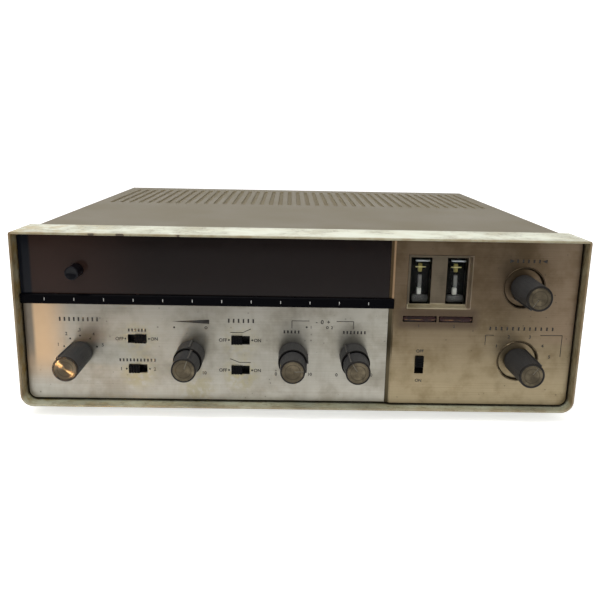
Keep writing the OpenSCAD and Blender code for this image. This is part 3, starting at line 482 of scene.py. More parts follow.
@dataclass(frozen=True)
class AgedEnamel(Finish):
    """Cream enamel with yellow stains, grime along its edges, painted shade on its side and inner walls,
    and chips.
    """

    name: str = "aged_cream_enamel"
    clean: Colour = (0.60, 0.625, 0.475)
    dull: Colour = (0.40, 0.395, 0.265)
    stain: Colour = (0.40, 0.32, 0.12)
    grime_and_shade: Colour = (0.33, 0.265, 0.155)
    fleck: Colour = (0.20, 0.15, 0.07)
    side_painted_shade: Colour = (0.64, 0.53, 0.43)
    side_span: Span = (0.2122, 0.2134)
    chip: Colour = (0.09, 0.068, 0.04)
    stained_span: Span = (-0.215, -0.11)

    def paint(self) -> None:
        """Clouds, stains towards the left end, painted shade on the side walls, then by the wear value
        dirt, painted shade on the inner wall and chips.
        """
        where = self.place()
        wear = self.attribute("wear")
        cloud = self.noise(where, 30.0, 6.0, 0.6)
        blot = self.noise(where, 75.0, 5.0, 0.6)
        fleck = self.noise(where, 260.0, 5.0, 0.65)
        colour = self.mix(self.ramp(cloud, 0.40, 0.66), self.clean, self.dull)
        near_end = self.ramp(self.axis("X"), *self.stained_span, 1.0, 0.22)
        colour = self.mix(self.times(self.ramp(blot, 0.42, 0.64), near_end), colour, self.stain)
        clustered = self.times(self.ramp(fleck, 0.50, 0.66, 0.0, 0.75), self.ramp(cloud, 0.40, 0.58))
        colour = self.mix(clustered, colour, self.fleck)
        # The wear value holds real dirt at the lip and rear, and painted shade on the inner wall.
        dirt_and_shade = self.times(wear, self.ramp(blot, 0.30, 0.70, 0.45, 0.95))
        colour = self.mix(dirt_and_shade, colour, self.grime_and_shade)
        # Painted shade: the side walls are darkened with tan.
        at_side = self.ramp(self.size(self.axis("X")), *self.side_span)
        colour = self.mix(at_side, colour, self.side_painted_shade, Blend.MULTIPLY)
        spread = self.noise(self.place(offset=(3.7, 0.0, 0.0)), 60.0, 6.0, 0.62)
        bare = self.ramp(self.times(wear, spread), 0.74, 0.77)
        self.set(base_color=self.mix(bare, colour, self.chip))
        self.set(roughness=self.ramp(cloud, 0.3, 0.8, 0.36, 0.52), coat_weight=0.12, coat_roughness=0.2)
        self.bump(self.less(self.noise(where, 260.0, 3.0), bare), 0.06 * MM, 0.5)


@dataclass(frozen=True)
class SatinPaint(Finish):
    """Even sprayed paint with a fine orange-peel skin, faint scratches, dust, and bands laid over it."""

    colour: Colour
    worn: Colour
    roughness: float
    bands: tuple[Band, ...] = ()
    scratches: float = 0.25

    def paint(self) -> None:
        """Slow tone changes, thin scratches across the depth, bands laid over the colour, fine bump."""
        where = self.place()
        cloud = self.noise(where, 16.0, 5.0)
        thin = self.noise(self.place((40.0, 700.0, 40.0), (1.3, 0.0, 0.0)), 1.0, 2.0)
        colour = self.mix(self.ramp(cloud, 0.35, 0.7, 0.0, 0.5), self.colour, self.worn)
        colour = self.mix(self.ramp(thin, 0.70, 0.76, 0.0, self.scratches), colour, self.worn)
        for band in self.bands:
            colour = self.mix(band.share(self), colour, band.colour)
        duller = self.ramp(cloud, 0.3, 0.75, self.roughness, self.roughness + 0.12)
        self.set(base_color=colour, roughness=duller)
        self.bump(self.noise(where, 900.0, 2.0), 0.02 * MM, 0.35)


@dataclass(frozen=True)
class BrushedSheet(Finish):
    """Brushed sheet metal with its grain along X, clouds of tarnish, specks, tones, spots and bands."""

    base: Colour
    tarnish: Colour
    roughness: float
    tones: tuple[Tone, ...]
    spots: tuple[Spot, ...] = ()
    bands: tuple[Band | GapShade, ...] = ()
    metallic: float = 1.0
    mottled: float = 0.85
    smeared: float = 0.35
    streaked: float = 0.40
    speck: Colour = (0.06, 0.05, 0.04)
    speck_share: float = 0.55

    def paint(self) -> None:
        """Tones, tarnish in clouds, smears and streaks along X, specks, broken spots and bands."""
        where = self.place()
        streak = self.noise(self.place((9.0, 9.0, 2600.0)), 1.0, 4.0, 0.6)
        cloud = self.noise(where, 38.0, 6.0, 0.6)
        fine = self.noise(where, 240.0, 4.0, 0.6)
        smear = self.noise(self.place((150.0, 40.0, 30.0), (0.4, 0.0, 0.0)), 1.0, 4.0, 0.6)
        colour = self.base
        for tone in self.tones:
            colour = tone.over(self, colour)
        for share in (
            self.ramp(cloud, 0.42, 0.68, 0.0, self.mottled),
            self.ramp(smear, 0.45, 0.75, 0.0, self.smeared),
            self.ramp(streak, 0.35, 0.75, 0.0, self.streaked),
        ):
            colour = self.mix(share, colour, self.tarnish, Blend.MULTIPLY)
        dots = self.ramp(self.cells(where, 190.0), 0.10, 0.16, 1.0, 0.0)
        speckled = self.times(dots, self.ramp(fine, 0.52, 0.60))
        colour = self.mix(self.times(speckled, self.speck_share), colour, self.speck)
        broken = self.ramp(fine, 0.36, 0.58)
        for spot in self.spots:
            colour = self.mix(self.times(spot.share(self), broken), colour, spot.colour)
        for band in self.bands:
            colour = self.mix(band.share(self), colour, band.colour)
        polish = self.ramp(fine, 0.3, 0.7, self.roughness - 0.04, self.roughness + 0.05)
        self.set(base_color=colour, metallic=self.metallic, roughness=polish)
        self.set(anisotropic=0.55, anisotropic_rotation=0.25)
        self.bump(streak, 0.008 * MM, 0.25)


@dataclass(frozen=True)
class Moulding(Finish):
    """Moulded plastic: one tone, broken by dust and fine scratches, with a rim darkened as painted shade
    and a pale line.
    """

    colour: Colour
    dust: Colour
    roughness: float
    specular: float = 0.5
    dust_share: float = 0.35
    rim: Colour = (0.011, 0.009, 0.007)
    line: Colour = (0.10, 0.092, 0.08)

    def paint(self) -> None:
        """Dust in clouds and flecks, painted shade on the rim and a line by the wear value, scratches in
        the roughness.
        """
        where = self.place()
        cloud = self.noise(where, 55.0, 5.0, 0.6)
        fleck = self.noise(where, 700.0, 2.0)
        thin = self.noise(self.place((60.0, 60.0, 1200.0)), 1.0, 2.0)
        colour = self.mix(self.ramp(cloud, 0.45, 0.75, 0.0, self.dust_share), self.colour, self.dust)
        colour = self.mix(self.ramp(fleck, 0.66, 0.74, 0.0, self.dust_share), colour, self.dust)
        wear = self.attribute("wear")
        # Painted shade: the front rim is darker than the side of the same plastic.
        colour = self.mix(self.ramp(wear, 0.3, 0.9), colour, self.rim)
        colour = self.mix(self.ramp(wear, 1.3, 1.8), colour, self.line)
        self.set(base_color=colour, specular_ior_level=self.specular)
        self.set(roughness=self.ramp(thin, 0.45, 0.75, self.roughness, self.roughness + 0.08))
        self.bump(fleck, 0.01 * MM, 0.3)


@dataclass(frozen=True)
class SmokedAcrylic(Finish):
    """Dark brown acrylic, with a painted warm reflection towards its left end and a painted bluish
    reflection at its edge there.
    """

    name: str = "smoked_acrylic_window"
    colour: Colour = (0.0105, 0.0066, 0.006)
    dust: Colour = (0.022, 0.015, 0.012)
    # Painted reflection: warm towards the left end, and bluish at the edge where the frame's shaded wall is
    # mirrored.
    painted_warm_reflection: Tone = Tone("X", -0.105, -0.19, (0.036, 0.019, 0.0145))
    edge: Tone = Tone("X", -0.2025, -0.205, (0.005, 0.0065, 0.011))

    def paint(self) -> None:
        """Two tones along X, both painted reflection, and a trace of dust."""
        where = self.place()
        cloud = self.noise(where, 40.0, 5.0, 0.6)
        fleck = self.noise(where, 700.0, 2.0)
        colour = self.edge.over(self, self.painted_warm_reflection.over(self, self.colour))
        colour = self.mix(self.ramp(cloud, 0.45, 0.75, 0.0, 0.12), colour, self.dust)
        colour = self.mix(self.ramp(fleck, 0.68, 0.74, 0.0, 0.1), colour, self.dust)
        self.set(base_color=colour, specular_ior_level=0.14)
        self.set(roughness=self.ramp(cloud, 0.3, 0.8, 0.08, 0.16))


@dataclass(frozen=True)
class SpunMetal(Finish):
    """Aluminium spun on a lathe, with rings round the depth axis of its own knob."""

    name: str = "spun_aluminium_cap"
    base: Colour = (0.102, 0.084, 0.057)
    polished: Colour = (0.2, 0.166, 0.11)
    tarnish: Colour = (0.05, 0.042, 0.03)
    bare: Colour = (0.16, 0.145, 0.115)
    ring_rate: float = 220.0
    dark_ring: float = 0.7

    def paint(self) -> None:
        """Rings by the cap's own attribute, tarnish, a bare groove and a grain turned round the depth."""
        away = self.attribute("wear")
        rings = self.maths("SINE", self.times(away, self.ring_rate))
        cloud = self.noise(self.place(), 120.0, 4.0)
        rubbed = self.noise(self.place(offset=(2.1, 0.0, 0.0)), 130.0, 4.0)
        colour = self.mix(self.ramp(rubbed, 0.45, 0.68, 0.0, 0.8), self.base, self.polished)
        for share in (
            self.ramp(rings, -1.0, 1.0, 0.0, 0.35),
            self.ramp(cloud, 0.45, 0.7, 0.0, 0.5),
            self.ramp(self.size(self.less(away, self.dark_ring)), 0.02, 0.07, 0.6, 0.0),
        ):
            colour = self.mix(share, colour, self.tarnish)
        colour = self.mix(self.ramp(away, 1.4, 1.9), colour, self.bare)
        self.set(base_color=colour, metallic=1.0, roughness=0.42)
        grain = self.node("ShaderNodeTangent", {}, direction_type="RADIAL", axis="Y")
        self.set(anisotropic=0.92, anisotropic_rotation=0.25, tangent=grain.outputs["Tangent"])
        self.bump(rings, 0.006 * MM, 0.3)


@dataclass(frozen=True)
class PlatedMetal(Finish):
    """Plain metal: steel, brass, plating or a drawn can, with stains."""

    base: Colour
    stain: Colour
    roughness: float

    def paint(self) -> None:
        """Stains in clouds, fine flecks in its roughness, a little bump."""
        where = self.place()
        cloud = self.noise(where, 60.0, 6.0, 0.6)
        fleck = self.noise(where, 600.0, 3.0)
        self.set(base_color=self.mix(self.ramp(cloud, 0.42, 0.7, 0.0, 0.7), self.base, self.stain))
        self.set(metallic=1.0, roughness=self.ramp(fleck, 0.3, 0.7, self.roughness, self.roughness + 0.15))
        self.bump(fleck, 0.01 * MM, 0.3)


@dataclass(frozen=True)
class BoardAndMetal(Finish):
    """A laminate board that carries metal parts, told apart by their depth behind the part."""

    board: Colour
    weave: Colour
    metal: Colour
    metal_from: float

    def paint(self) -> None:
        """Paper laminate up to a depth, stained metal beyond it."""
        fibre = self.noise(self.place((900.0, 120.0, 160.0)), 1.0, 4.0)
        cloud = self.noise(self.place(), 90.0, 5.0)
        board = self.mix(self.ramp(fibre, 0.35, 0.7, 0.0, 0.6), self.board, self.weave)
        metal = self.mix(self.ramp(cloud, 0.4, 0.7, 0.0, 0.5), self.metal, self.weave)
        beyond = self.ramp(self.axis("Y"), self.metal_from, self.metal_from + 0.05 * MM)
        self.set(base_color=self.mix(beyond, board, metal), metallic=self.times(beyond, 0.95))
        self.set(roughness=self.ramp(cloud, 0.3, 0.7, 0.34, 0.48))
        self.bump(fibre, 0.01 * MM, 0.2)


@dataclass(frozen=True)
class LaminatedIron(Finish):
    """Black lacquer over stacked iron sheets: fine lines across the core, rust showing through."""

    name: str = "lacquered_laminations"
    lacquer: Colour = (0.018, 0.017, 0.016)
    rust: Colour = (0.10, 0.05, 0.028)
    sheet: float = 0.7 * MM

    def paint(self) -> None:
        """Sine lines along Y at the sheets' pitch, clouds of rust."""
        lines = self.maths("SINE", self.times(self.axis("Y"), 2.0 * math.pi / self.sheet))
        cloud = self.noise(self.place(), 110.0, 6.0, 0.65)
        self.set(base_color=self.mix(self.ramp(cloud, 0.55, 0.75, 0.0, 0.8), self.lacquer, self.rust))
        self.set(roughness=self.ramp(cloud, 0.3, 0.75, 0.32, 0.7))
        self.bump(lines, 0.05 * MM, 0.4)


@dataclass(frozen=True)
class TubeGlass(Finish):
    """Thin clear glass with a silvered top."""

    silvered: Span
    bend: float
    clear: Colour = (0.93, 0.95, 0.94)
    silver: Colour = (0.25, 0.25, 0.26)

    def paint(self) -> None:
        """Clear glass below, mirror film above, a trace of dust."""
        dust = self.noise(self.place(), 300.0, 4.0)
        film = self.ramp(self.axis("Z"), *self.silvered)
        self.set(base_color=self.mix(film, self.clear, self.silver), metallic=film, ior=self.bend)
        self.set(roughness=self.ramp(dust, 0.4, 0.8, 0.02, 0.12), transmission_weight=self.less(1.0, film))


@dataclass(frozen=True)
class RedLens(Finish):
    """Dark red translucent plastic, with a broken painted highlight along its middle."""

    middle: float
    colour: Colour = (0.026, 0.007, 0.007)
    deep: Colour = (0.008, 0.004, 0.004)
    painted_glint: Colour = (0.22, 0.11, 0.045)

    def paint(self) -> None:
        """Deep red clouds, a painted highlight line by the height from the middle, light that passes
        through.
        """
        cloud = self.noise(self.place(), 160.0, 4.0)
        colour = self.mix(self.ramp(cloud, 0.35, 0.7), self.colour, self.deep)
        height = self.size(self.less(self.axis("Z"), self.middle))
        thin = self.ramp(height, 0.15 * MM, 0.5 * MM, 1.0, 0.0)
        along = self.noise(self.place((90.0, 1.0, 1.0), (0.9, 0.0, 0.0)), 1.0, 3.0)
        # Painted highlight: a broken pale line along the middle.
        self.set(base_color=self.mix(self.times(thin, self.ramp(along, 0.45, 0.62)), colour, self.painted_glint))
        self.set(roughness=self.ramp(cloud, 0.3, 0.8, 0.25, 0.4), specular_ior_level=0.18)
        self.set(subsurface_weight=0.2, subsurface_radius=(0.004, 0.001, 0.001), subsurface_scale=0.5)


@dataclass(frozen=True)
class Ink(Finish):
    """Screen-printed ink with small gaps where it is rubbed."""

    colour: Colour
    rubbed: Colour

    def paint(self) -> None:
        """Rubbed flecks over even ink."""
        fleck = self.noise(self.place(), 1400.0, 3.0)
        self.set(base_color=self.mix(self.ramp(fleck, 0.55, 0.72, 0.0, 0.7), self.colour, self.rubbed))
        self.set(roughness=self.ramp(fleck, 0.3, 0.8, 0.45, 0.7))


@dataclass(frozen=True)
class IndicatorScreen(Finish):
    """The parts inside a level indicator: a pale coating, greyed by age; two of them are painted
    highlights.
    """

    colour: Colour
    aged: Colour
    roughness: float = 0.5

    def paint(self) -> None:
        """Even coating with fine grains and grey clouds."""
        grain = self.noise(self.place(), 1500.0, 3.0)
        cloud = self.noise(self.place(), 200.0, 4.0)
        colour = self.mix(self.ramp(cloud, 0.4, 0.75, 0.0, 0.7), self.colour, self.aged)
        self.set(base_color=self.mix(self.ramp(grain, 0.55, 0.75, 0.0, 0.5), colour, self.aged))
        self.set(roughness=self.ramp(grain, 0.3, 0.8, self.roughness, self.roughness + 0.2))
        self.bump(grain, 0.02 * MM, 0.3)


@dataclass(frozen=True)
class FloorPaint(Finish):
    """Pale paint, lifted to white for the eye and for reflections, that keeps the object's shadow."""

    name: str = "pale_floor"
    pale: Colour = (0.86, 0.86, 0.86)
    lift: float = 0.6
    wall_span: Span = (0.02, 0.5)
    front_span: Span = (-0.75, -0.45)

    def paint(self) -> None:
        """Light of its own: full up the wall, less on the floor, none at the front edge."""
        ray = self.node("ShaderNodeLightPath", {}).outputs
        seen = self.maths("MAXIMUM", ray["Is Camera Ray"], ray["Is Glossy Ray"])
        seen = self.maths("MAXIMUM", seen, ray["Is Transmission Ray"])
        rise = self.ramp(self.axis("Z"), *self.wall_span, self.lift, 1.0)
        fade = self.ramp(self.axis("Y"), *self.front_span)
        self.set(base_color=self.pale, roughness=0.9, specular_ior_level=0.0)
        self.set(emission_color=(1.0, 1.0, 1.0), emission_strength=self.times(seen, self.times(rise, fade)))


def slot_wall_light() -> Band:
    """Painted light on the cut walls of the cooling slots, just below the cover's top, that lifts their
    shade.
    """
    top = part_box("top_cover")[1].z
    return Band((-0.206, 0.206), (top - 2.0 * MM, top - 0.06 * MM), (MM, FILM), (0.37, 0.314, 0.2))


def gap_shade() -> GapShade:
    """The painted shade where both front panels meet the frame."""
    low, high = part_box("gold_panel")
    return GapShade(high.x, low.z)


def silver_sheet() -> BrushedSheet:
    """The silver panel: darker from below upwards by painted shade under the trim bar, a painted warm
    reflection at its left end, painted shade at its left edge, yellowed round the switches.

    Returns:
        The finish.
    """
    yellow = (0.30, 0.27, 0.165)
    yellowed = (
        (-125.7, 61.0, 0.45),
        (-125.7, 34.0, 0.75),
        (-46.0, 60.0, 0.4),
        (-46.0, 33.0, 0.75),
        (-80.0, 22.0, 0.6),
    )
    radii = (-30.0 * MM, 5.0 * MM)
    spots = tuple(Spot((x * MM, z * MM), radii, 14.0 * MM, yellow, share) for x, z, share in yellowed)
    tones = (
        # Painted shade: darker towards the top, under the trim bar.
        Tone("Z", 0.012, 0.042, (0.30, 0.288, 0.25)),
        Tone("Z", 0.070, 0.090, (0.275, 0.262, 0.228)),
        Tone("X", 0.0, 0.05, (0.33, 0.318, 0.276), Blend.LIGHTEN),
    )
    bands = (
        # Painted reflection: a warm glow near the left end.
        Band((-0.204, -0.199), (0.050, FAR), (26.0 * MM, 30.0 * MM), (0.50, 0.35, 0.215)),
        # Painted shade: a darker strip along the left edge, by the frame's wall.
        Band((-FAR, -0.2062), (0.060, FAR), (3.5 * MM, 40.0 * MM), (0.17, 0.145, 0.115)),
        gap_shade(),
    )
    base = (0.40, 0.382, 0.334)
    tarnish = (0.72, 0.70, 0.66)
    return BrushedSheet("brushed_silver", base, tarnish, 0.33, tones, spots, bands)


def champagne_sheet() -> BrushedSheet:
    """The champagne panel: darker upwards, partly tarnish and partly painted shade, lighter at its right,
    painted shade and a painted highlight on its left bevel, dark rings on the beads.

    Returns:
        The finish.
    """
    tones = (
        # Darker towards the top: partly tarnish, partly painted shade.
        Tone("Z", 0.0, 0.108, (0.122, 0.09, 0.059)),
        Tone("X", 0.165, 0.21, (0.21, 0.158, 0.108), Blend.LIGHTEN),
    )
    bead = (15.1 * MM, 16.2 * MM)
    rings = tuple(
        Spot(middle_of(cap), bead, 0.3 * MM, (0.075, 0.056, 0.036), 0.85)
        for cap in ("balance_cap", "mode_cap")
    )
    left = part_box("gold_panel")[0].x
    bar_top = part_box("trim_bar")[1].z
    low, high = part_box("pilot_lenses")
    sooty = (low.z - 2.0 * MM, high.z + 3.0 * MM)
    bands = (
        # Painted shade on the left bevel below and above the trim bar, then a painted highlight along it.
        Band((left - MM, left + 2.1 * MM), (-FAR, bar_top), (MM, MM), (0.08, 0.066, 0.04)),
        Band((left - MM, left + 2.0 * MM), (bar_top, FAR), (0.6 * MM, MM), (0.07, 0.048, 0.026)),
        Band((left + 2.4 * MM, left + 2.9 * MM), (bar_top, FAR), (0.8 * MM, MM), (0.29, 0.19, 0.112)),
        Band((low.x, high.x), sooty, (9.0 * MM, 7.0 * MM), (0.07, 0.05, 0.035), 0.8),
        gap_shade(),
    )
    base = (0.338, 0.28, 0.178)
    tarnish = (0.67, 0.635, 0.56)
    return BrushedSheet("brushed_champagne", base, tarnish, 0.38, tones, rings, bands, smeared=0.1)


def bezel_sheet() -> BrushedSheet:
    """The bezel: its lower and right walls are painted lighter, as painted light.

    Returns:
        The finish.
    """
    low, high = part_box("eye_bezel")
    tones = (
        # Painted light on the lower and right walls.
        Tone("Z", low.z + 3.6 * MM, low.z + 3.1 * MM, (0.42, 0.36, 0.24)),
        Tone("X", high.x - 3.2 * MM, high.x - 2.6 * MM, (0.26, 0.20, 0.14)),
    )
    base = (0.117, 0.09, 0.055)
    tarnish = (0.6, 0.58, 0.5)
    return BrushedSheet("champagne_bezel", base, tarnish, 0.36, tones, metallic=0.25)


def finish_table() -> dict[str, Finish]:
    """The finishes of the part.

    Returns:
        Each finish by its name.
    """
    strip = 1.7 * MM
    board_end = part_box("rear_apron")[1].y + strip
    lens_line = middle_of("pilot_lenses")[1] - 0.4 * MM
    valve_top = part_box("tubes")[1].z
    eye_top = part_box("eye_tubes")[1].z
    jack_metal = (0.6, 0.55, 0.42)
    pin_metal = (0.55, 0.52, 0.45)
    finishes = (
        AgedEnamel(),
        SmokedAcrylic(),
        SpunMetal(),
        LaminatedIron(),
        silver_sheet(),
        champagne_sheet(),
        bezel_sheet(),
        RedLens("dark_red_lens", lens_line),
        TubeGlass("valve_glass", (valve_top - 16.0 * MM, valve_top - 10.0 * MM), 1.25),
        TubeGlass("indicator_glass", (eye_top - 5.0 * MM, eye_top - 2.0 * MM), 1.1),
        # The cover's band is painted light on the slot walls.
        SatinPaint("taupe_paint_satin", (0.147, 0.122, 0.072), (0.184, 0.157, 0.1), 0.58, (slot_wall_light(),)),
        # Painted light: the screen under the slots is paler than the cover paint, lifting the shade in the
        # slots.
        SatinPaint("dusty_screen", (0.295, 0.253, 0.17), (0.35, 0.305, 0.215), 0.7),
        Moulding("black_trim", (0.001, 0.001, 0.002), (0.005, 0.005, 0.007), 0.25, 0.03, 0.2),
        Moulding("ribbed_black_plastic", (0.038, 0.0378, 0.0385), (0.078, 0.075, 0.07), 0.42, 0.2),
        Moulding("slider_plastic", (0.0015, 0.0015, 0.002), (0.006, 0.006, 0.007), 0.4, 0.06),
        Moulding("button_plastic", (0.003, 0.003, 0.005), (0.010, 0.010, 0.013), 0.2, 0.16),
        Moulding("black_lacquer", (0.012, 0.0115, 0.011), (0.04, 0.036, 0.03), 0.4, 0.4),
        Moulding("foot_rubber", (0.014, 0.013, 0.013), (0.05, 0.047, 0.042), 0.75, 0.3),
        Moulding("black_felt", (0.003, 0.003, 0.003), (0.008, 0.008, 0.008), 0.95, 0.05),
        Moulding("socket_ceramic", (0.55, 0.52, 0.44), (0.3, 0.27, 0.21), 0.4),
        Moulding("brown_phenolic", (0.065, 0.03, 0.016), (0.13, 0.09, 0.06), 0.35),
        Moulding("outlet_plastic", (0.07, 0.035, 0.02), (0.14, 0.1, 0.07), 0.3),
        PlatedMetal("zinc_steel", (0.42, 0.41, 0.38), (0.27, 0.24, 0.19), 0.38),
        PlatedMetal("brass", (0.55, 0.42, 0.2), (0.3, 0.21, 0.1), 0.3),
        PlatedMetal("drawn_can", (0.5, 0.5, 0.49), (0.34, 0.33, 0.3), 0.32),
        BoardAndMetal("jack_board", (0.085, 0.04, 0.02), (0.05, 0.024, 0.013), jack_metal, board_end),
        BoardAndMetal("terminal_board", (0.03, 0.022, 0.017), (0.018, 0.013, 0.01), pin_metal, board_end),
        Ink("dark_ink", (0.012, 0.010, 0.008), (0.09, 0.08, 0.06)),
        Ink("white_ink", (0.6, 0.6, 0.57), (0.2, 0.2, 0.19)),
        IndicatorScreen("screen_cap", (0.86, 0.9, 0.92), (0.66, 0.7, 0.72)),
        IndicatorScreen("screen_white", (0.8, 0.79, 0.73), (0.5, 0.49, 0.44)),
        IndicatorScreen("screen_line", (0.85, 0.78, 0.36), (0.7, 0.62, 0.25)),
        IndicatorScreen("screen_amber", (0.40, 0.33, 0.08), (0.22, 0.18, 0.06)),
        IndicatorScreen("screen_grey", (0.13, 0.125, 0.12), (0.06, 0.058, 0.055)),
        IndicatorScreen("screen_strip", (0.24, 0.235, 0.22), (0.13, 0.127, 0.12)),
        IndicatorScreen("screen_dark", (0.002, 0.002, 0.002), (0.005, 0.005, 0.005), 0.9),
    )
    return {finish.name: finish for finish in finishes}


# Stage

WARM = (1.0, 0.62, 0.32)


@dataclass(frozen=True)
class Lamp:
    """A soft square lamp that faces a point, with its power in watts and its beam's angle in degrees."""

    name: str
    place: Point
    target: Point
    size: float
    power: float
    colour: Colour
    spread: float = 180.0

    def add(self) -> None:
        """Puts the lamp into the scene, unseen by the camera."""
        data = bpy.data.lights.new(self.name, "AREA")
        data.size = self.size
        data.energy = self.power
        data.color = self.colour
        data.spread = math.radians(self.spread)
        lamp = bpy.data.objects.new(self.name, data)
        lamp.location = self.place
        aim = Vector(self.target) - Vector(self.place)
        lamp.rotation_euler = aim.to_track_quat("-Z", "Y").to_euler()
        lamp.visible_camera = False
        bpy.context.scene.collection.objects.link(lamp)


@dataclass
class Stage:
    """A pale floor that sweeps up behind, soft lamps, the room's light and the camera."""

    half_width: float = 3.0
    front: float = -0.95
    back: float = 1.6
    sweep: float = 0.6
    top: float = 2.6
    run_steps: int = 20
    bend_steps: int = 24
    width_steps: int = 7
    room: Span = (0.26, 0.75)
    camera_place: Point = (-0.0095, -0.7091, 0.2223)
    pitch: float = math.radians(13.81)
    yaw: float = math.radians(0.98)
    roll: float = math.radians(1.12)
    lens: float = 42.29
    sensor: float = 36.0
    lamps: tuple[Lamp, ...] = (
        Lamp("key_lamp", (-0.35, -0.4, 1.5), (0.0, 0.0, 0.05), 1.2, 12.0, (1.0, 0.99, 0.97)),
        Lamp("fill_lamp", (0.45, -1.7, 0.9), (0.0, 0.0, 0.08), 1.2, 3.5, (1.0, 0.98, 0.95)),
        Lamp("warm_lamp", (-0.42, -0.47, 0.06), (-0.1695, -0.2255, 0.0495), 0.05, 0.025, WARM, 10.0),
    )

    def build(self) -> None:
        """Makes the floor, the light and the camera."""
        self.make_floor()
        self.make_room()
        for lamp in self.lamps:
            lamp.add()
        self.make_camera()

    def make_floor(self) -> None:
        """Makes the floor: a straight run, a quarter circle and a wall, carried across the width."""
        turn = np.linspace(0.0, QUARTER, self.bend_steps)
        run = np.linspace(self.front, self.back, self.run_steps)[:-1]
        bend = (self.back + self.sweep * np.sin(turn), self.sweep * (1.0 - np.cos(turn)))
        wall = np.array([[self.back + self.sweep, self.top]])
        straight = np.stack([run, np.zeros_like(run)], axis=-1)
        path = np.concatenate([straight, np.stack(bend, axis=-1), wall])
        across = np.linspace(-self.half_width, self.half_width, self.width_steps)
        points = np.empty((len(path), len(across), 3))
        points[..., 0] = across[None, :]
        points[..., 1:] = path[:, None, :]
        mesh = bpy.data.meshes.new("floor")
        faces = grid_quads(len(path), len(across), False, False)[:, ::-1]
        mesh.from_pydata(points.reshape(-1, 3).tolist(), [], faces.tolist())
        mesh.shade_smooth()
        mesh.materials.append(FloorPaint().material)
        floor = bpy.data.objects.new("floor", mesh)
        bpy.context.scene.collection.objects.link(floor)

    def make_room(self) -> None:
        """Makes the room's light: grey at eye height, paler towards the ceiling."""
        world = bpy.data.worlds.new("room")
        world.use_nodes = True
        nodes = Nodes(world.node_tree)
        where = nodes.node("ShaderNodeTexCoord", {}).outputs["Generated"]
        up = nodes.node("ShaderNodeSeparateXYZ", {0: where}).outputs["Z"]
        background = world.node_tree.nodes["Background"]
        nodes.feed(background.inputs["Color"], (1.0, 1.0, 1.0))
        nodes.feed(background.inputs["Strength"], nodes.ramp(up, 0.0, 0.9, *self.room))
        bpy.context.scene.world = world

    def make_camera(self) -> None:
        """Makes the camera where the photograph was taken from: above the middle, looking down."""
        level = math.cos(self.pitch)
        ahead = Vector((math.sin(self.yaw) * level, math.cos(self.yaw) * level, -math.sin(self.pitch)))
        right = Vector((math.cos(self.yaw), -math.sin(self.yaw), 0.0))
        up = right.cross(ahead)
        side = math.cos(self.roll) * right + math.sin(self.roll) * up
        top = -math.sin(self.roll) * right + math.cos(self.roll) * up
        data = bpy.data.cameras.new("camera")
        data.sensor_width = self.sensor
        data.lens = self.lens
        camera = bpy.data.objects.new("camera", data)
        turn = Matrix((side, top, -ahead)).transposed()
        camera.matrix_world = Matrix.Translation(self.camera_place) @ turn.to_4x4()
        bpy.context.scene.collection.objects.link(camera)
        bpy.context.scene.camera = camera


# Sub-assemblies and the case


@dataclass
class SubAssembly:
    """A group of pieces that are built together, with the table of finishes that they share.

    CAD nodes that stay as they are packed are listed under the finish that they are dressed in.
    """

    finishes: dict[str, Finish]
    dressed: ClassVar[Dressing] = {}

    def build(self) -> None:
        """Dresses the CAD nodes that stay as they are packed, and makes the other pieces."""
        for finish, nodes in self.dressed.items():
            self.dress(finish, *nodes)
        self.make()

    def make(self) -> None:
        """Makes the pieces that are no CAD nodes; a sub-assembly may have none."""

    def dress(self, finish: str, *nodes: str) -> None:
        """Gives CAD nodes a finish.

        Args:
            finish: its name.
            nodes: names of the nodes.
        """
        material = self.finishes[finish].material
        for name in nodes:
            node = bpy.data.objects[name]
            if not node.data.materials:
                node.data.materials.append(material)
            for slot in node.material_slots:
                slot.material = material
            LOG.info("dressed %s in %s", name, finish)

    def add(
        self,
        name: str,
        patch: Patch,
        finish: str,
        slot: str,
        body: str = "case",
        replaced: Sequence[str] = (),
        shell: Shell = Shell.CLOSED,
        sharp: float = 38.0,
    ) -> None:
        """Puts a surface into the scene as a piece on a body.

        Args:
            name: the piece's name.
            patch: its surface.
            finish: its finish's name.
            slot: the record's material slot; not used.
            body: the CAD body that it moves with.
            replaced: CAD nodes that it stands for.
            shell: whether it is closed or a print.
            sharp: angle in degrees past which an edge stays sharp.
        """
        mesh = bpy.data.meshes.new(name)
        mesh.from_pydata(patch.points.tolist(), [], patch.quads.tolist() + patch.tris.tolist())
        if shell is Shell.CLOSED:
            work = bmesh.new()
            work.from_mesh(mesh)
            bmesh.ops.recalc_face_normals(work, faces=work.faces)
            work.to_mesh(mesh)
            work.free()
        if patch.wear is not None:
            wear = mesh.attributes.new("wear", "FLOAT", "POINT")
            wear.data.foreach_set("value", np.ascontiguousarray(patch.wear, np.float32))
        mesh.shade_smooth()
        mesh.set_sharp_from_angle(angle=math.radians(sharp))
        mesh.materials.append(self.finishes[finish].material)
        piece = bpy.data.objects.new(name, mesh)
        bpy.context.scene.collection.objects.link(piece)
        if shell is Shell.PRINT:
            film = piece.modifiers.new("film", "SOLIDIFY")
            film.thickness = FILM
        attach(piece, body)
        if replaced:
            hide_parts(*replaced)
        LOG.info("made %s with %d points", name, len(patch.points))


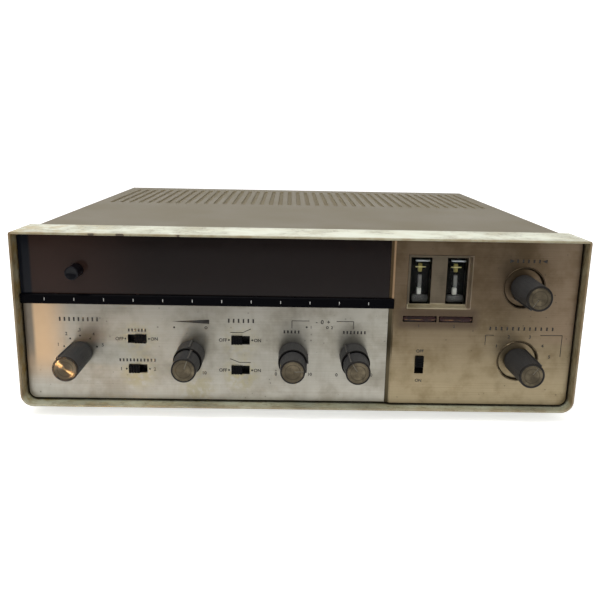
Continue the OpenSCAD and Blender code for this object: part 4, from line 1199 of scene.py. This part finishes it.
@dataclass
class FrontFrame(SubAssembly):
    """The painted hoop round the front, with rolled edges that carry its wear, and painted shade on its
    inner face.

    A knock has its place across and its width in millimetres, and its strength.
    """

    wall: float = 1.8 * MM
    low_r: float = 9.5 * MM
    high_r: float = 2.0 * MM
    inner_high_r: float = 0.3 * MM
    edge: float = 0.6 * MM
    rear_edge: float = 0.35 * MM
    lip_wear: float = 1.6 * MM
    rear_wear: float = 1.2 * MM
    rear_dirt: float = 0.5
    # Painted shade that darkens the inner face, as a share of the wear value.
    inner_painted_shade: float = 0.22
    knock_z: Span = (0.130, 0.139)
    knocks: tuple[Point, ...] = ((-153.5, 3.4, 0.75), (-134.0, 3.4, 0.75), (-92.0, 2.2, 0.5))
    run: int = 170
    arc: int = 14
    bend_steps: int = 6
    depth_steps: int = 16
    depth_power: float = 1.6

    def make(self) -> None:
        """Makes the hoop from its outer and inner outlines."""
        low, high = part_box("front_frame")
        wall = self.wall
        outer = self.outline(high.x, low.z, high.z, self.low_r, self.high_r)
        inner_r = (self.low_r - wall, self.inner_high_r)
        inner = self.outline(high.x - wall, low.z + wall, high.z - wall, *inner_r)
        patch = self.wall_round(outer, inner, low.y, high.y)
        finish = ("aged_cream_enamel", "cream_paint")
        self.add("front_frame_hoop", patch, *finish, replaced=["front_frame"], sharp=50.0)

    def outline(self, half: float, low: float, high: float, low_r: float, high_r: float) -> Array:
        """Points round an upright box with rounded corners, clockwise from its upper left.

        Each corner is a quarter circle in even steps, and each side is a straight line in even steps
        between the ends of two corners.

        Args:
            half: half the width.
            low: height of the lower side.
            high: height of the upper side.
            low_r: radius of the lower corners.
            high_r: radius of the upper corners.

        Returns:
            One row of x and z per point.
        """
        corners = (
            (half - high_r, high - high_r, high_r),
            (half - low_r, low + low_r, low_r),
            (low_r - half, low + low_r, low_r),
            (high_r - half, high - high_r, high_r),
        )
        turn = np.linspace(0.0, QUARTER, self.arc)
        bends = [
            np.stack([x + r * np.sin(i * QUARTER + turn), z + r * np.cos(i * QUARTER + turn)], axis=-1)
            for i, (x, z, r) in enumerate(corners)
        ]
        share = np.linspace(0.0, 1.0, self.run + 2)[1:-1, None]
        sides = [bends[i - 1][-1] + share * (bends[i][0] - bends[i - 1][-1]) for i in range(4)]
        return np.concatenate([part for pair in zip(sides, bends) for part in pair])

    def wall_round(self, outer: Array, inner: Array, front: float, back: float) -> Patch:
        """Carries the wall's profile round two matched outlines.

        Point (i, j) is outer i plus share j of the way to inner i across the front, at depth j. Share
        runs from 0 on the outer face to 1 on the inner face, and quarter circles join them at the lip.

        Args:
            outer: outline of the outer face.
            inner: outline of the inner face.
            front: depth of the lip.
            back: depth of the rear edge.

        Returns:
            The closed surface with its wear, which includes painted shade on the inner face.
        """
        bend = np.linspace(0.0, QUARTER, self.bend_steps)
        run = np.linspace(0.0, 1.0, self.depth_steps)[1:] ** self.depth_power
        roll = self.edge * (1.0 - np.sin(bend))
        lip = front + self.edge * (1.0 - np.cos(bend))
        straight = front + self.edge + run * (back - front - self.edge - self.rear_edge)
        flat = np.zeros_like(run)
        half_way = np.concatenate([roll, flat, [self.rear_edge]])
        across = np.concatenate([half_way, self.wall - half_way[::-1]])
        half_way = np.concatenate([lip, straight, [back]])
        depth = np.concatenate([half_way, half_way[::-1]])
        share = across / self.wall
        place = outer[:, None, :] + share[None, :, None] * (inner - outer)[:, None, :]
        shape = place.shape[:2]
        points = np.stack([place[..., 0], np.broadcast_to(depth, shape), place[..., 1]], axis=-1)
        at_lip = np.exp((front - depth) / self.lip_wear)
        at_rear = self.rear_dirt * np.exp((depth - back) / self.rear_wear)
        # Wear: dirt at the lip and rear edge, plus painted shade on the inner face.
        wear = np.clip(at_lip + at_rear + self.inner_painted_shade * share, 0.0, 1.0)
        return Patch.looped(points, (wear * (1.0 + self.knocked(points))).ravel())

    def knocked(self, points: Array) -> Array:
        """Extra wear where the top edge took knocks: a bell curve across X at each place.

        Args:
            points: the hoop's points.

        Returns:
            What is added to the wear, as a share of it.
        """
        x, width, share = np.transpose(self.knocks)
        away = (points[..., 0, None] - x * MM) / (width * MM)
        on_top = smooth_step(points[..., 2], *self.knock_z)
        return on_top * (np.exp(-away * away) * share).sum(axis=-1)


@dataclass
class Case(SubAssembly):
    """The sheet metal of the case, dressed as it is packed, and a wire screen under the cover's slots."""

    sheet: float = 1.2 * MM
    gap: float = 0.05 * MM
    wire: float = 0.9 * MM
    mesh: float = 2.4 * MM
    screen_x: Span = (-204.0 * MM, 204.0 * MM)
    screen_y: Span = (20.0 * MM, 194.0 * MM)
    dressed: ClassVar[Dressing] = {
        "taupe_paint_satin": ("top_cover",),
        "zinc_steel": ("chassis", "front_wall", "rear_apron", "bottom_pan", "cover_screws"),
        "foot_rubber": ("feet", "cord_gland"),
        "black_lacquer": ("sub_panel",),
    }

    def make(self) -> None:
        """Makes the screen against the cover's underside: wires along X, and below them wires along Y."""
        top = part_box("top_cover")[1].z - self.sheet - self.gap
        under = top - self.wire
        upper = self.prisms(np.arange(*self.screen_y, self.mesh), self.screen_x, top, Along.ACROSS)
        lower = self.prisms(np.arange(*self.screen_x, self.mesh), self.screen_y, under, Along.DEPTH)
        self.add("vent_screen", Patch.joined([upper, lower]), "dusty_screen", "taupe_paint")

    def prisms(self, places: Array, ends: Span, top: float, along: Along) -> Patch:
        """Square prisms side by side: eight corners for each place, and six faces.

        Args:
            places: middle of each prism.
            ends: where all of them start and end.
            top: height of their upper faces.
            along: the direction in which they run.

        Returns:
            The closed surfaces.
        """
        half = self.wire / 2.0
        corners = np.empty((len(places), 2, 4, 3))
        corners[..., along.value] = np.array(ends)[None, :, None]
        corners[..., 1 - along.value] = places[:, None, None] + np.array([-half, half, half, -half])
        corners[..., 2] = top - self.wire * np.array([1.0, 1.0, 0.0, 0.0])
        faces = np.concatenate([grid_quads(2, 4, False, True), [[3, 2, 1, 0], [4, 5, 6, 7]]])
        numbers = (np.arange(len(places)) * 8)[:, None, None] + faces[None]
        return Patch(corners.reshape(-1, 3), numbers.reshape(-1, 4))


# Front panels


class Print:
    """Collects flat marks on one plane, at places in millimetres across and up.

    A capital is a share of its letter's size, and its strokes are made fatter by a share of its height.
    """

    circle_points: ClassVar[int] = 24
    pinhole: ClassVar[float] = 0.02
    capital: ClassVar[float] = 0.72
    fatter: ClassVar[float] = 0.035

    def __init__(self, plane: float) -> None:
        """Starts an empty sheet at a depth."""
        self.plane = plane
        self.parts: list[Patch] = []

    def put(self, across: Array, up: Array, **faces: Array) -> None:
        """Adds points and their quads or tris."""
        depth = np.full(len(across), self.plane)
        self.parts.append(Patch(np.stack([across * MM, depth, up * MM], axis=-1), **faces))

    def line(self, x0: float, z0: float, x1: float, z1: float, width: float = 0.5) -> None:
        """A straight stroke: both ends moved half the width to each side.

        Args:
            x0: first end's place across.
            z0: first end's height.
            x1: second end's place across.
            z1: second end's height.
            width: the stroke's width.
        """
        run = np.array([x1 - x0, z1 - z0])
        side = np.array([-run[1], run[0]]) * width / 2.0 / np.hypot(*run)
        corners = np.array([[x0, z0], [x1, z1], [x1, z1], [x0, z0]]) + np.outer([-1, -1, 1, 1], side)
        self.put(*corners.T, quads=np.array([[0, 1, 2, 3]]))

    def dot(self, x: float, z: float, r: float = 0.75, hole: float = 0.0) -> None:
        """A disc, or a ring where it has a hole: two circles of points joined by a band.

        Args:
            x: its place across.
            z: its height.
            r: its radius.
            hole: radius of its hole.
        """
        turn = around(self.circle_points)
        radii = np.array([max(hole, self.pinhole * r), r])[:, None]
        across = (x + radii * np.cos(turn)).ravel()
        up = (z + radii * np.sin(turn)).ravel()
        self.put(across, up, quads=grid_quads(2, len(turn), False, True)[:, ::-1])

    def wedge(self, tip: float, end: float, z: float, height: float) -> None:
        """A triangle that rises from a point at its tip to its full height at its end."""
        order = np.array([[0, 1, 2]] if end > tip else [[1, 0, 2]])
        self.put(np.array([tip, end, end]), z + height * np.array([0.0, -0.5, 0.5]), tris=order)

    def word(self, text: str, x: float, z: float, height: float = 2.6) -> None:
        """Upright lettering, made a mesh before it is placed: its x and y become X and Z.

        Args:
            text: figures, or ON or OFF.
            x: its middle across.
            z: its middle height.
            height: height of its capitals.
        """
        curve = bpy.data.curves.new("lettering", "FONT")
        curve.body = text
        curve.size = height / self.capital
        curve.align_x = "CENTER"
        curve.resolution_u = 4
        curve.offset = self.fatter * height
        holder = bpy.data.objects.new("lettering", curve)
        bpy.context.scene.collection.objects.link(holder)
        bpy.context.view_layer.update()
        mesh = bpy.data.meshes.new_from_object(holder.evaluated_get(bpy.context.evaluated_depsgraph_get()))
        mesh.calc_loop_triangles()
        points = np.empty(len(mesh.vertices) * 3)
        mesh.vertices.foreach_get("co", points)
        tris = np.empty(len(mesh.loop_triangles) * 3, np.int32)
        mesh.loop_triangles.foreach_get("vertices", tris)
        self.put(points[0::3] + x, points[1::3] + z - height / 2.0, tris=tris.reshape(-1, 3))
        bpy.data.objects.remove(holder)
        bpy.data.meshes.remove(mesh)
        bpy.data.curves.remove(curve)

    def row(self, x0: float, x1: float, z: float, count: int, tall: float = 3.2, wide: float = 1.2) -> None:
        """A row of upright bars between two ends, like a graduated scale.

        Args:
            x0: left end.
            x1: right end.
            z: height of its middle.
            count: number of bars.
            tall: height of a bar.
            wide: width of a bar.
        """
        for x in np.linspace(x0 + wide / 2.0, x1 - wide / 2.0, count):
            self.line(x, z - tall / 2.0, x, z + tall / 2.0, wide)


@dataclass
class FrontPanels(SubAssembly):
    """The window, trim bar, silver and champagne panels, and their printed marks."""

    row_z: float = 49.5
    dot_r: float = 13.4
    figure_r: float = 18.2
    figure_step: float = math.radians(35.0)
    selector_x: float = -169.5
    left_x: float = -125.7
    filter_x: float = -46.0
    high_z: float = 61.0
    low_z: float = 36.5
    bass_x: float = -5.5
    treble_x: float = 42.0
    champagne_step: float = 2.0 * MM
    dressed: ClassVar[Dressing] = {
        "smoked_acrylic_window": ("dark_window",),
        "black_trim": ("trim_bar",),
        "brushed_silver": ("silver_panel",),
        "brushed_champagne": ("gold_panel",),
    }

    def make(self) -> None:
        """Prints the marks of both panels and the short ticks on the trim bar."""
        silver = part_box("silver_panel")[0].y
        self.print_silver(Print(silver - FILM))
        self.print_champagne(Print(silver - self.champagne_step - FILM))
        low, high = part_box("trim_bar")
        bar = Print(low.y - FILM)
        bar.row(-194.275, 51.975, (low.z + high.z) / 2.0 / MM, 12, 2.2, 0.55)
        self.add_print("trim_bar_print", bar, "white_ink", "black_trim")

    def add_print(self, name: str, sheet: Print, ink: str, slot: str) -> None:
        """Makes a sheet of marks one piece."""
        self.add(name, Patch.joined(sheet.parts), ink, slot, shell=Shell.PRINT)

    def print_silver(self, sheet: Print) -> None:
        """Draws the marks of the silver panel: figures, ON and OFF, rows of squares and brackets.

        Args:
            sheet: the print.
        """
        sheet.row(-184.8, -155.2, 76.0, 9)
        for step, figure in enumerate("12345"):
            angle = self.figure_step * (step - 2)
            across, up = math.sin(angle), math.cos(angle)
            sheet.dot(self.selector_x + self.dot_r * across, self.row_z + self.dot_r * up)
            sheet.word(figure, self.selector_x + self.figure_r * across, self.row_z + self.figure_r * up)
        sheet.row(-132.5, -118.7, 67.9, 6, 2.4)
        sheet.row(-140.0, -112.0, 43.7, 11, 2.4)
        on_off = (("OFF", -13.6), ("ON", 13.2))
        for x, z, words in (
            (self.left_x, self.high_z, on_off),
            (self.filter_x, self.high_z, on_off),
            (self.filter_x, self.low_z, on_off),
            (self.left_x, self.low_z, (("1", -13.0), ("2", 13.0))),
        ):
            for text, beside in words:
                sheet.word(text, x + beside, z)
            sheet.dot(x - 9.0, z)
            sheet.dot(x + 9.1, z)
        sheet.wedge(-98.6, -70.0, 75.4, 3.4)
        sheet.dot(-97.0, 70.6, 0.8)
        sheet.dot(-72.5, 70.6, 1.2, 0.6)
        sheet.word("10", -74.3, 34.0)
        sheet.word("0", -95.0, 34.0)
        sheet.row(-55.6, -35.6, 76.5, 6)
        sheet.line(-54.0, 67.2, -44.0, 67.2)
        sheet.line(-44.0, 67.2, -38.0, 70.2)
        sheet.line(-54.0, 45.8, -47.0, 43.0)
        sheet.line(-47.0, 43.0, -38.0, 43.0)
        self.tone_marks(sheet)
        self.add_print("silver_panel_print", sheet, "dark_ink", "silver_aluminium")

    def tone_marks(self, sheet: Print) -> None:
        """Draws the bracket over the two tone controls, and their figures.

        Args:
            sheet: the print.
        """
        left = self.bass_x - 0.9
        right = self.treble_x - 0.9
        for x0, x1 in ((left, 7.0), (28.0, right)):
            sheet.line(x0, 77.2, x1, 77.2)
        for x in (left, right):
            sheet.line(x, 77.4, x, 71.2)
        sheet.word("-  0  +", 17.5, 76.6, 3.2)
        sheet.dot(5.0, 72.2, 0.8)
        sheet.word("1", 8.4, 72.2, 2.2)
        sheet.dot(21.0, 72.2, 1.1, 0.55)
        sheet.word("2", 24.6, 72.2, 2.2)
        sheet.row(-12.8, -0.5, 68.3, 5, 2.4)
        sheet.row(33.2, 50.7, 68.5, 7, 2.4)
        for x in (self.bass_x, self.treble_x):
            sheet.word("0", x - 12.8, 33.8)
            sheet.word("10", x + 13.6, 34.0)

    def print_champagne(self, sheet: Print) -> None:
        """Draws the marks of the champagne panel: figures, brackets and a balance scale.

        Args:
            sheet: the print.
        """
        sheet.row(162.6, 180.4, 127.0, 5, 2.6)
        sheet.wedge(161.0, 157.4, 127.0, 3.0)
        sheet.wedge(182.0, 185.6, 127.0, 3.0)
        sheet.word("1", 91.2, 75.3, 2.2)
        sheet.word("2", 118.4, 75.2, 2.2)
        sheet.row(146.0, 195.6, 74.0, 12, 2.8)
        sheet.line(143.5, 68.6, 143.5, 60.6)
        sheet.line(143.3, 68.6, 150.0, 68.6)
        sheet.line(186.0, 69.0, 203.2, 69.0)
        sheet.line(203.0, 69.2, 203.0, 51.7)
        places = ((152.5, 60.0), (161.5, 67.6), (178.0, 67.6), (188.4, 60.6), (194.6, 51.7))
        for figure, (x, z) in zip("12345", places):
            sheet.word(figure, x, z)
        sheet.word("OFF", 93.3, 55.0, 2.4)
        sheet.word("ON", 93.3, 30.9, 2.4)
        self.add_print("champagne_panel_print", sheet, "dark_ink", "champagne_aluminium")


# Controls


@dataclass
class FlutedBody:
    """The body of a knob: bore, rear face, fluted side with a pointer rib, rounded front edge and seat.

    The bore and each ring of the seat are given by a radius and a depth, and the pointer by its angle in
    degrees, clockwise from the top. A body that is pierced right through closes on itself.
    """

    centre: Span
    front: float
    back: float
    front_r: float
    rear_r: float
    bore: Span
    seat: tuple[Span, ...]
    turn: float
    pierced: bool
    edge: float = 0.6 * MM
    rear_edge: float = 0.3 * MM
    plain: float = 0.5 * MM
    rib_half: float = 1.0 * MM
    rib_h: float = 1.1 * MM
    rib_edge: float = 0.12 * MM
    line_half: float = 0.3 * MM
    flutes: int = 80
    flute_depth: float = 0.14 * MM
    steps: int = 12
    bend_steps: int = 5
    spokes: int = 480

    def profile(self) -> tuple[Array, Array, Array, Array]:
        """The rings from the bore round the rear, along the side and over the front edge to the seat.

        Returns:
            Radius and depth of each ring, 1 where it is fluted, and 1 where it is on the front.
        """
        depth = np.linspace(self.back - self.plain, self.front + self.edge + self.plain, self.steps)
        slope = (self.rear_r - self.front_r) / (self.back - self.front)
        bend = np.linspace(0.0, QUARTER, self.bend_steps)
        seat_r, seat_y = np.transpose(self.seat)
        rear_r = [self.bore[0], self.bore[0], self.rear_r - self.rear_edge, self.rear_r]
        rear_y = [self.bore[1], self.back, self.back, self.back - self.rear_edge]
        side = self.front_r + slope * (depth - self.front)
        radius = np.concatenate([rear_r, side, self.front_r - self.edge * (1.0 - np.cos(bend)), seat_r])
        station = np.concatenate([rear_y, depth, self.front + self.edge * (1.0 - np.sin(bend)), seat_y])
        ring = np.arange(len(radius)) - len(rear_r)
        return radius, station, (ring >= 0) & (ring < self.steps), ring >= self.steps

    def patch(self) -> Patch:
        """Turns the profile with its flutes and rib.

        Between crests the side dips by the flute depth as one less the size of a sine, and within half
        the rib's width of the pointer it stands out by the rib's height. The wear value is 1 on the
        front, 2 on a thin line along the pointer and 0 elsewhere.

        Returns:
            The closed surface.
        """
        radius, station, fluted, on_front = (part[:, None] for part in self.profile())
        angle = around(self.spokes)
        dip = self.flute_depth * (1.0 - np.abs(np.sin(0.5 * self.flutes * angle)))
        angle = angle - math.radians(self.turn)
        away = np.abs((angle + np.pi) % (2.0 * np.pi) - np.pi)
        reach = radius * np.sin(np.minimum(away, QUARTER))
        rib = self.rib_h * (1.0 - smooth_step(reach, self.rib_half - self.rib_edge, self.rib_half))
        side = radius + fluted * (rib - dip * (rib <= 0.0))
        near = np.hypot(np.sin(angle), np.minimum(np.cos(angle), 0.0))
        wear = (2.0 * fluted * (radius * near < self.line_half) + on_front).ravel()
        rings = turned(side, station, self.spokes, self.centre, Along.DEPTH)
        if self.pierced:
            return Patch.looped(rings, wear)
        patch = Patch.capped(rings)
        patch.wear = np.append(wear, (0.0, 0.0))
        return patch


@dataclass
class TurnedControl(SubAssembly):
    """A knob with a fluted body and a spun cap, and a ring knob where it is stacked.

    The cap's crest and rim and the start of its groove are shares of its radius.
    """

    name: str
    turn: float
    front_r: float
    rear_r: float
    ring_turn: float | None = None
    ring_r: float = 10.9 * MM
    cap_r: float = 7.9 * MM
    cap_t: float = 1.4 * MM
    cap_gap: float = 0.05 * MM
    seat_edge: Span = (0.1 * MM, 0.12 * MM)
    dish: float = 0.4 * MM
    crest: float = 0.88
    rim: tuple[float, ...] = (0.93, 0.985, 1.0, 1.0)
    rim_edge: float = 0.1 * MM
    pip: float = 0.02
    face_rings: int = 26
    shaft_r: float = 3.01 * MM
    sleeve_r: float = 4.51 * MM
    bore_in: float = 6.4 * MM
    ring_edge: float = 0.2 * MM
    groove_half: float = 0.4 * MM
    groove_edge: float = 0.1 * MM
    groove_depth: float = 0.3 * MM
    groove_from: Span = (0.12, 0.16)
    air: float = 0.02 * MM
    felt_t: float = 1.25 * MM
    felt_edge: float = 0.2 * MM
    felt_bore: float = 0.4 * MM
    felt_in: float = 0.35 * MM
    felt_spokes: int = 120
    spokes: int = 480

    def make(self) -> None:
        """Makes the knob, its cap and its ring."""
        body = f"{self.name}_control"
        low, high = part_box(f"{self.name}_knob")
        front, back = low.y, high.y
        centre = middle_of(f"{self.name}_cap")
        seat_r = self.cap_r + self.cap_gap
        edge_r, edge_y = self.seat_edge
        seat = ((seat_r + edge_r, front), (seat_r, front + edge_y), (seat_r, front + self.cap_t))
        bore = (self.shaft_r, front + self.bore_in)
        knob = FlutedBody(centre, front, back, self.front_r, self.rear_r, bore, seat, self.turn, False)
        plastic = ("ribbed_black_plastic", "ribbed_black")
        self.add(f"{self.name}_knob_body", knob.patch(), *plastic, body, [f"{self.name}_knob"])
        metal = ("spun_aluminium_cap", "spun_aluminium")
        self.add(f"{self.name}_knob_cap", self.spun_cap(front, centre), *metal, body, [f"{self.name}_cap"])
        self.dress("brass", f"{self.name}_shaft")
        if self.ring_turn is None:
            return
        body = f"{self.name}_ring_control"
        low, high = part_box(f"{self.name}_ring")
        front, back = low.y, high.y
        seat = ((self.sleeve_r + self.ring_edge, front),)
        bore = (self.sleeve_r, front + self.ring_edge)
        ring = FlutedBody(centre, front, back, self.ring_r, self.ring_r, bore, seat, self.ring_turn, True)
        self.add(f"{self.name}_ring_knob", ring.patch(), *plastic, body, [f"{self.name}_ring"])
        self.dress("brass", f"{self.name}_sleeve")
        self.add(f"{self.name}_washer", self.felt_washer(front, centre), "black_felt", "black_rubber", body)

    def spun_cap(self, front: float, centre: Span) -> Patch:
        """The cap: a shallow cone to its rim, a bevel, and an index groove from the middle to the rim.

        Its wear value is the distance from the axis as a share of the cap's radius, and 2 more in the
        groove.

        Args:
            front: depth of the knob's front face.
            centre: X and Z of the axis.

        Returns:
            The closed surface.
        """
        crest = self.crest * self.cap_r
        rim = self.cap_r * np.array(self.rim)
        face = np.linspace(self.pip, 1.0, self.face_rings) * crest
        radius = np.concatenate([face, rim, [self.cap_r - self.rim_edge]])
        cone = self.dish * (1.0 - np.clip(radius / crest, 0.0, 1.0))
        station = front + cone + 0.5 * self.dish * smooth_step(radius, crest, self.cap_r)
        station[-2:] = front + self.cap_t - self.air
        angle = around(self.spokes) - math.radians(self.turn)
        across = np.abs(radius[:, None] * np.sin(angle))
        ahead = radius[:, None] * np.cos(angle)
        cut = 1.0 - smooth_step(across, self.groove_half - self.groove_edge, self.groove_half)
        cut = cut * smooth_step(ahead / self.cap_r, *self.groove_from)
        cut[-2:] = 0.0
        depth = station[:, None] + self.groove_depth * cut
        patch = Patch.capped(turned(radius, depth, self.spokes, centre, Along.DEPTH))
        patch.wear = np.hypot(patch.points[:, 0] - centre[0], patch.points[:, 2] - centre[1]) / self.cap_r
        patch.wear[:-2] += 2.0 * (cut.ravel() > 0.5)
        return patch

    def felt_washer(self, ring_front: float, centre: Span) -> Patch:
        """The black felt between a ring knob and the knob in front: a flat band round the shaft.

        Args:
            ring_front: depth of the ring knob's front face.
            centre: X and Z of the axis.

        Returns:
            The closed surface.
        """
        bore = self.shaft_r + self.felt_bore
        rim = self.ring_r - self.felt_in
        thick = self.felt_t
        soft = self.felt_edge
        radius = np.array([bore, rim - soft, rim, rim, rim - soft, bore])
        station = ring_front - np.array([self.air, self.air, soft, thick - soft, thick, thick])
        return Patch.looped(turned(radius, station, self.felt_spokes, centre, Along.DEPTH))


@dataclass
class Switches(SubAssembly):
    """The slide actuators, the power button and the works behind the panel.

    The rim of the button's hollow and its first ring are shares of their outer radius.
    """

    button_r: float = 5.1 * MM
    rim: float = 0.78
    pip: float = 0.05
    hollow: float = 0.8 * MM
    head: float = 14.0 * MM
    stem_r: float = 3.5 * MM
    edge: float = 0.6 * MM
    neck_edge: float = 0.2 * MM
    stem_edge: float = 0.3 * MM
    face_rings: int = 12
    bend_steps: int = 6
    spokes: int = 96
    dressed: ClassVar[Dressing] = {
        "slider_plastic": (
            "left_upper_slider",
            "left_lower_slider",
            "filter_upper_slider",
            "filter_lower_slider",
            "speaker_slider",
        ),
        "black_lacquer": ("slide_switches",),
        "brown_phenolic": ("power_switch", "rotary_switches"),
        "zinc_steel": ("control_pots",),
    }

    def make(self) -> None:
        """Makes the button: a face hollowed as a parabola, a rounded rim, a straight side and a stem."""
        low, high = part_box("power_button")
        rim = self.rim * self.button_r
        dish = np.linspace(self.pip, 1.0, self.face_rings) * rim
        bend = np.linspace(0.0, QUARTER, self.bend_steps)
        neck = low.y + self.head
        head_r = self.button_r
        stem_r = self.stem_r
        steps = [head_r, head_r - self.neck_edge, stem_r, stem_r, stem_r - self.stem_edge]
        radius = np.concatenate([dish, head_r - self.edge * (1.0 - np.sin(bend)), steps])
        station = np.concatenate(
            [
                low.y + self.hollow * (1.0 - (dish / rim) ** 2),
                low.y + self.edge * (1.0 - np.cos(bend)),
                [neck - self.neck_edge, neck, neck, high.y - self.stem_edge, high.y],
            ]
        )
        button = Patch.capped(turned(radius, station, self.spokes, middle_of("power_button"), Along.DEPTH))
        finish = ("button_plastic", "slider_black")
        self.add("power_push_button", button, *finish, "power_push", ["power_button"])


# Level indicators


@dataclass(frozen=True)
class ScreenPart:
    """A soft-edged block inside each tube: its finish, and its box in millimetres from the tube's foot."""

    name: str
    finish: str
    low: Point
    high: Point
    power: float


@dataclass
class LevelIndicators(SubAssembly):
    """The bezel, the two indicator tubes with their screens, and the red bars below.

    What a tube's foot, shoulder, dome, tip and inner tip measure without a unit is a share of its radius.
    """

    wall: float = 0.7 * MM
    foot_r: tuple[float, ...] = (0.8, 0.95, 1.0, 1.0)
    foot_z: Span = (0.8 * MM, 2.5 * MM)
    straight_in: float = 8.0 * MM
    shoulder_in: float = 0.85
    dome: float = 0.55
    dome_end: float = math.radians(72.0)
    dome_steps: int = 12
    tip_in: float = 0.24
    tip_r: Span = (0.16, 0.03)
    bore_tip: float = 0.02
    spokes: int = 96
    bar_width: float = 25.6 * MM
    bar_power: float = 0.42
    dressed: ClassVar[Dressing] = {"champagne_bezel": ("eye_bezel",)}
    screens: ClassVar[tuple[ScreenPart, ...]] = (
        ScreenPart("screen_backs", "screen_dark", (-8.6, -1.0, 3.0), (8.6, 0.6, 44.0), 0.12),
        ScreenPart("screen_ledges", "screen_grey", (-5.2, -5.6, 7.6), (7.6, -1.2, 13.2), 0.25),
        ScreenPart("screen_low_blocks", "screen_white", (-1.1, -4.6, 13.4), (2.3, -1.2, 18.9), 0.25),
        ScreenPart("screen_strips", "screen_strip", (-0.4, -3.6, 19.2), (2.4, -1.2, 28.9), 0.2),
        ScreenPart("screen_high_blocks", "screen_amber", (-0.85, -4.2, 31.4), (2.15, -1.2, 37.9), 0.25),
        # A painted glint: a thin pale bar across each tube.
        ScreenPart("glint_bars", "screen_line", (-3.5, -4.9, 35.0), (4.8, -4.3, 35.8), 0.4),
        # A painted highlight: a pale bar for the light on the glass dome.
        ScreenPart("dome_highlight_bars", "screen_cap", (-3.2, -5.0, 39.6), (8.2, -1.2, 40.9), 0.3),
    )

    def make(self) -> None:
        """Makes the tubes, the pale strip, blocks and ledge inside each of them, and the bars."""
        low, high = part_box("eye_tubes")
        radius = (high.y - low.y) / 2.0
        feet = [np.array([x, low.y + radius, low.z]) for x in (low.x + radius, high.x - radius)]
        tubes = Patch.joined([self.envelope((x, y), radius, z, high.z) for x, y, z in feet])
        self.add("indicator_tubes", tubes, "indicator_glass", "tube_glass", replaced=["eye_tubes"])
        for part in self.screens:
            box = MM * np.array([part.low, part.high])
            blocks = [rounded_block(foot + box[0], foot + box[1], part.power) for foot in feet]
            self.add(part.name, Patch.joined(blocks), part.finish, "tube_glass")
        low, high = (np.array(corner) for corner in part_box("pilot_lenses"))
        inner = np.array([high[0] - low[0] - self.bar_width, 0.0, 0.0])
        ends = ((low, high - inner), (low + inner, high))
        bars = Patch.joined([rounded_block(*pair, self.bar_power) for pair in ends])
        self.add("pilot_bars", bars, "dark_red_lens", "red_lens", replaced=["pilot_lenses"])

    def envelope(self, centre: Span, r: float, low: float, high: float) -> Patch:
        """A thin glass shell: up the outside to a drawn tip, then down the inside.

        The shoulder is part of an ellipse, and the inner wall repeats the outer one less the wall.

        Args:
            centre: X and Y of the axis.
            r: outer radius.
            low: height of its foot.
            high: height of its tip.

        Returns:
            The closed surface.
        """
        bend = np.linspace(0.0, self.dome_end, self.dome_steps)
        shoulder = high - self.shoulder_in * r
        radius = r * np.concatenate([self.foot_r, np.cos(bend), self.tip_r])
        foot = [low, low + self.foot_z[0], low + self.foot_z[1], shoulder - self.straight_in]
        tip = [high - self.tip_in * r, high]
        station = np.concatenate([foot, shoulder + self.dome * r * np.sin(bend), tip])
        inner_r = np.maximum(radius - self.wall, self.bore_tip * r)
        inner_z = np.maximum(station - self.wall, low + self.wall)
        radius = np.concatenate([radius, inner_r[::-1]])
        station = np.concatenate([station, inner_z[::-1]])
        return Patch.capped(turned(radius, station, self.spokes, centre, Along.HEIGHT))


# Inside and rear


@dataclass
class Internals(SubAssembly):
    """Transformers, cans, sockets and tubes on the deck."""

    dressed: ClassVar[Dressing] = {
        "valve_glass": ("tubes",),
        "lacquered_laminations": ("power_transformer", "output_transformers"),
        "drawn_can": ("filter_capacitors",),
        "socket_ceramic": ("tube_sockets",),
    }


@dataclass
class RearFittings(SubAssembly):
    """The sockets, terminals, fuse and outlets on the rear apron."""

    dressed: ClassVar[Dressing] = {
        "jack_board": ("input_jacks",),
        "terminal_board": ("speaker_terminals",),
        "button_plastic": ("fuse_holder",),
        "outlet_plastic": ("ac_outlets",),
    }


def controls(finishes: dict[str, Finish]) -> list[TurnedControl]:
    """The six knobs, with their pointers where the photograph has them.

    Args:
        finishes: the table of finishes.

    Returns:
        The knobs from left to right.
    """
    plain = (9.5 * MM, 9.1 * MM)
    stacked = (9.1 * MM, 9.7 * MM)
    dished = (9.5 * MM, 10.0 * MM)
    return [
        TurnedControl(finishes, "selector", -36.0, *plain),
        TurnedControl(finishes, "volume", 19.0, *stacked, ring_turn=6.0),
        TurnedControl(finishes, "bass", 87.0, *stacked, ring_turn=87.0),
        TurnedControl(finishes, "treble", -33.0, *stacked, ring_turn=-37.0),
        TurnedControl(finishes, "balance", -145.0, *dished),
        TurnedControl(finishes, "mode", 36.0, *dished),
    ]


def main() -> None:
    """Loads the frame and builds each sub-assembly."""
    logging.basicConfig(level=logging.INFO)
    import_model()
    bpy.context.scene.view_settings.view_transform = "Standard"
    Stage().build()
    finishes = finish_table()
    front = (FrontFrame(finishes), Case(finishes), FrontPanels(finishes))
    rest = (Switches(finishes), LevelIndicators(finishes), Internals(finishes), RearFittings(finishes))
    for group in (*front, *controls(finishes), *rest):
        group.build()


if __name__ == "__main__":
    main()
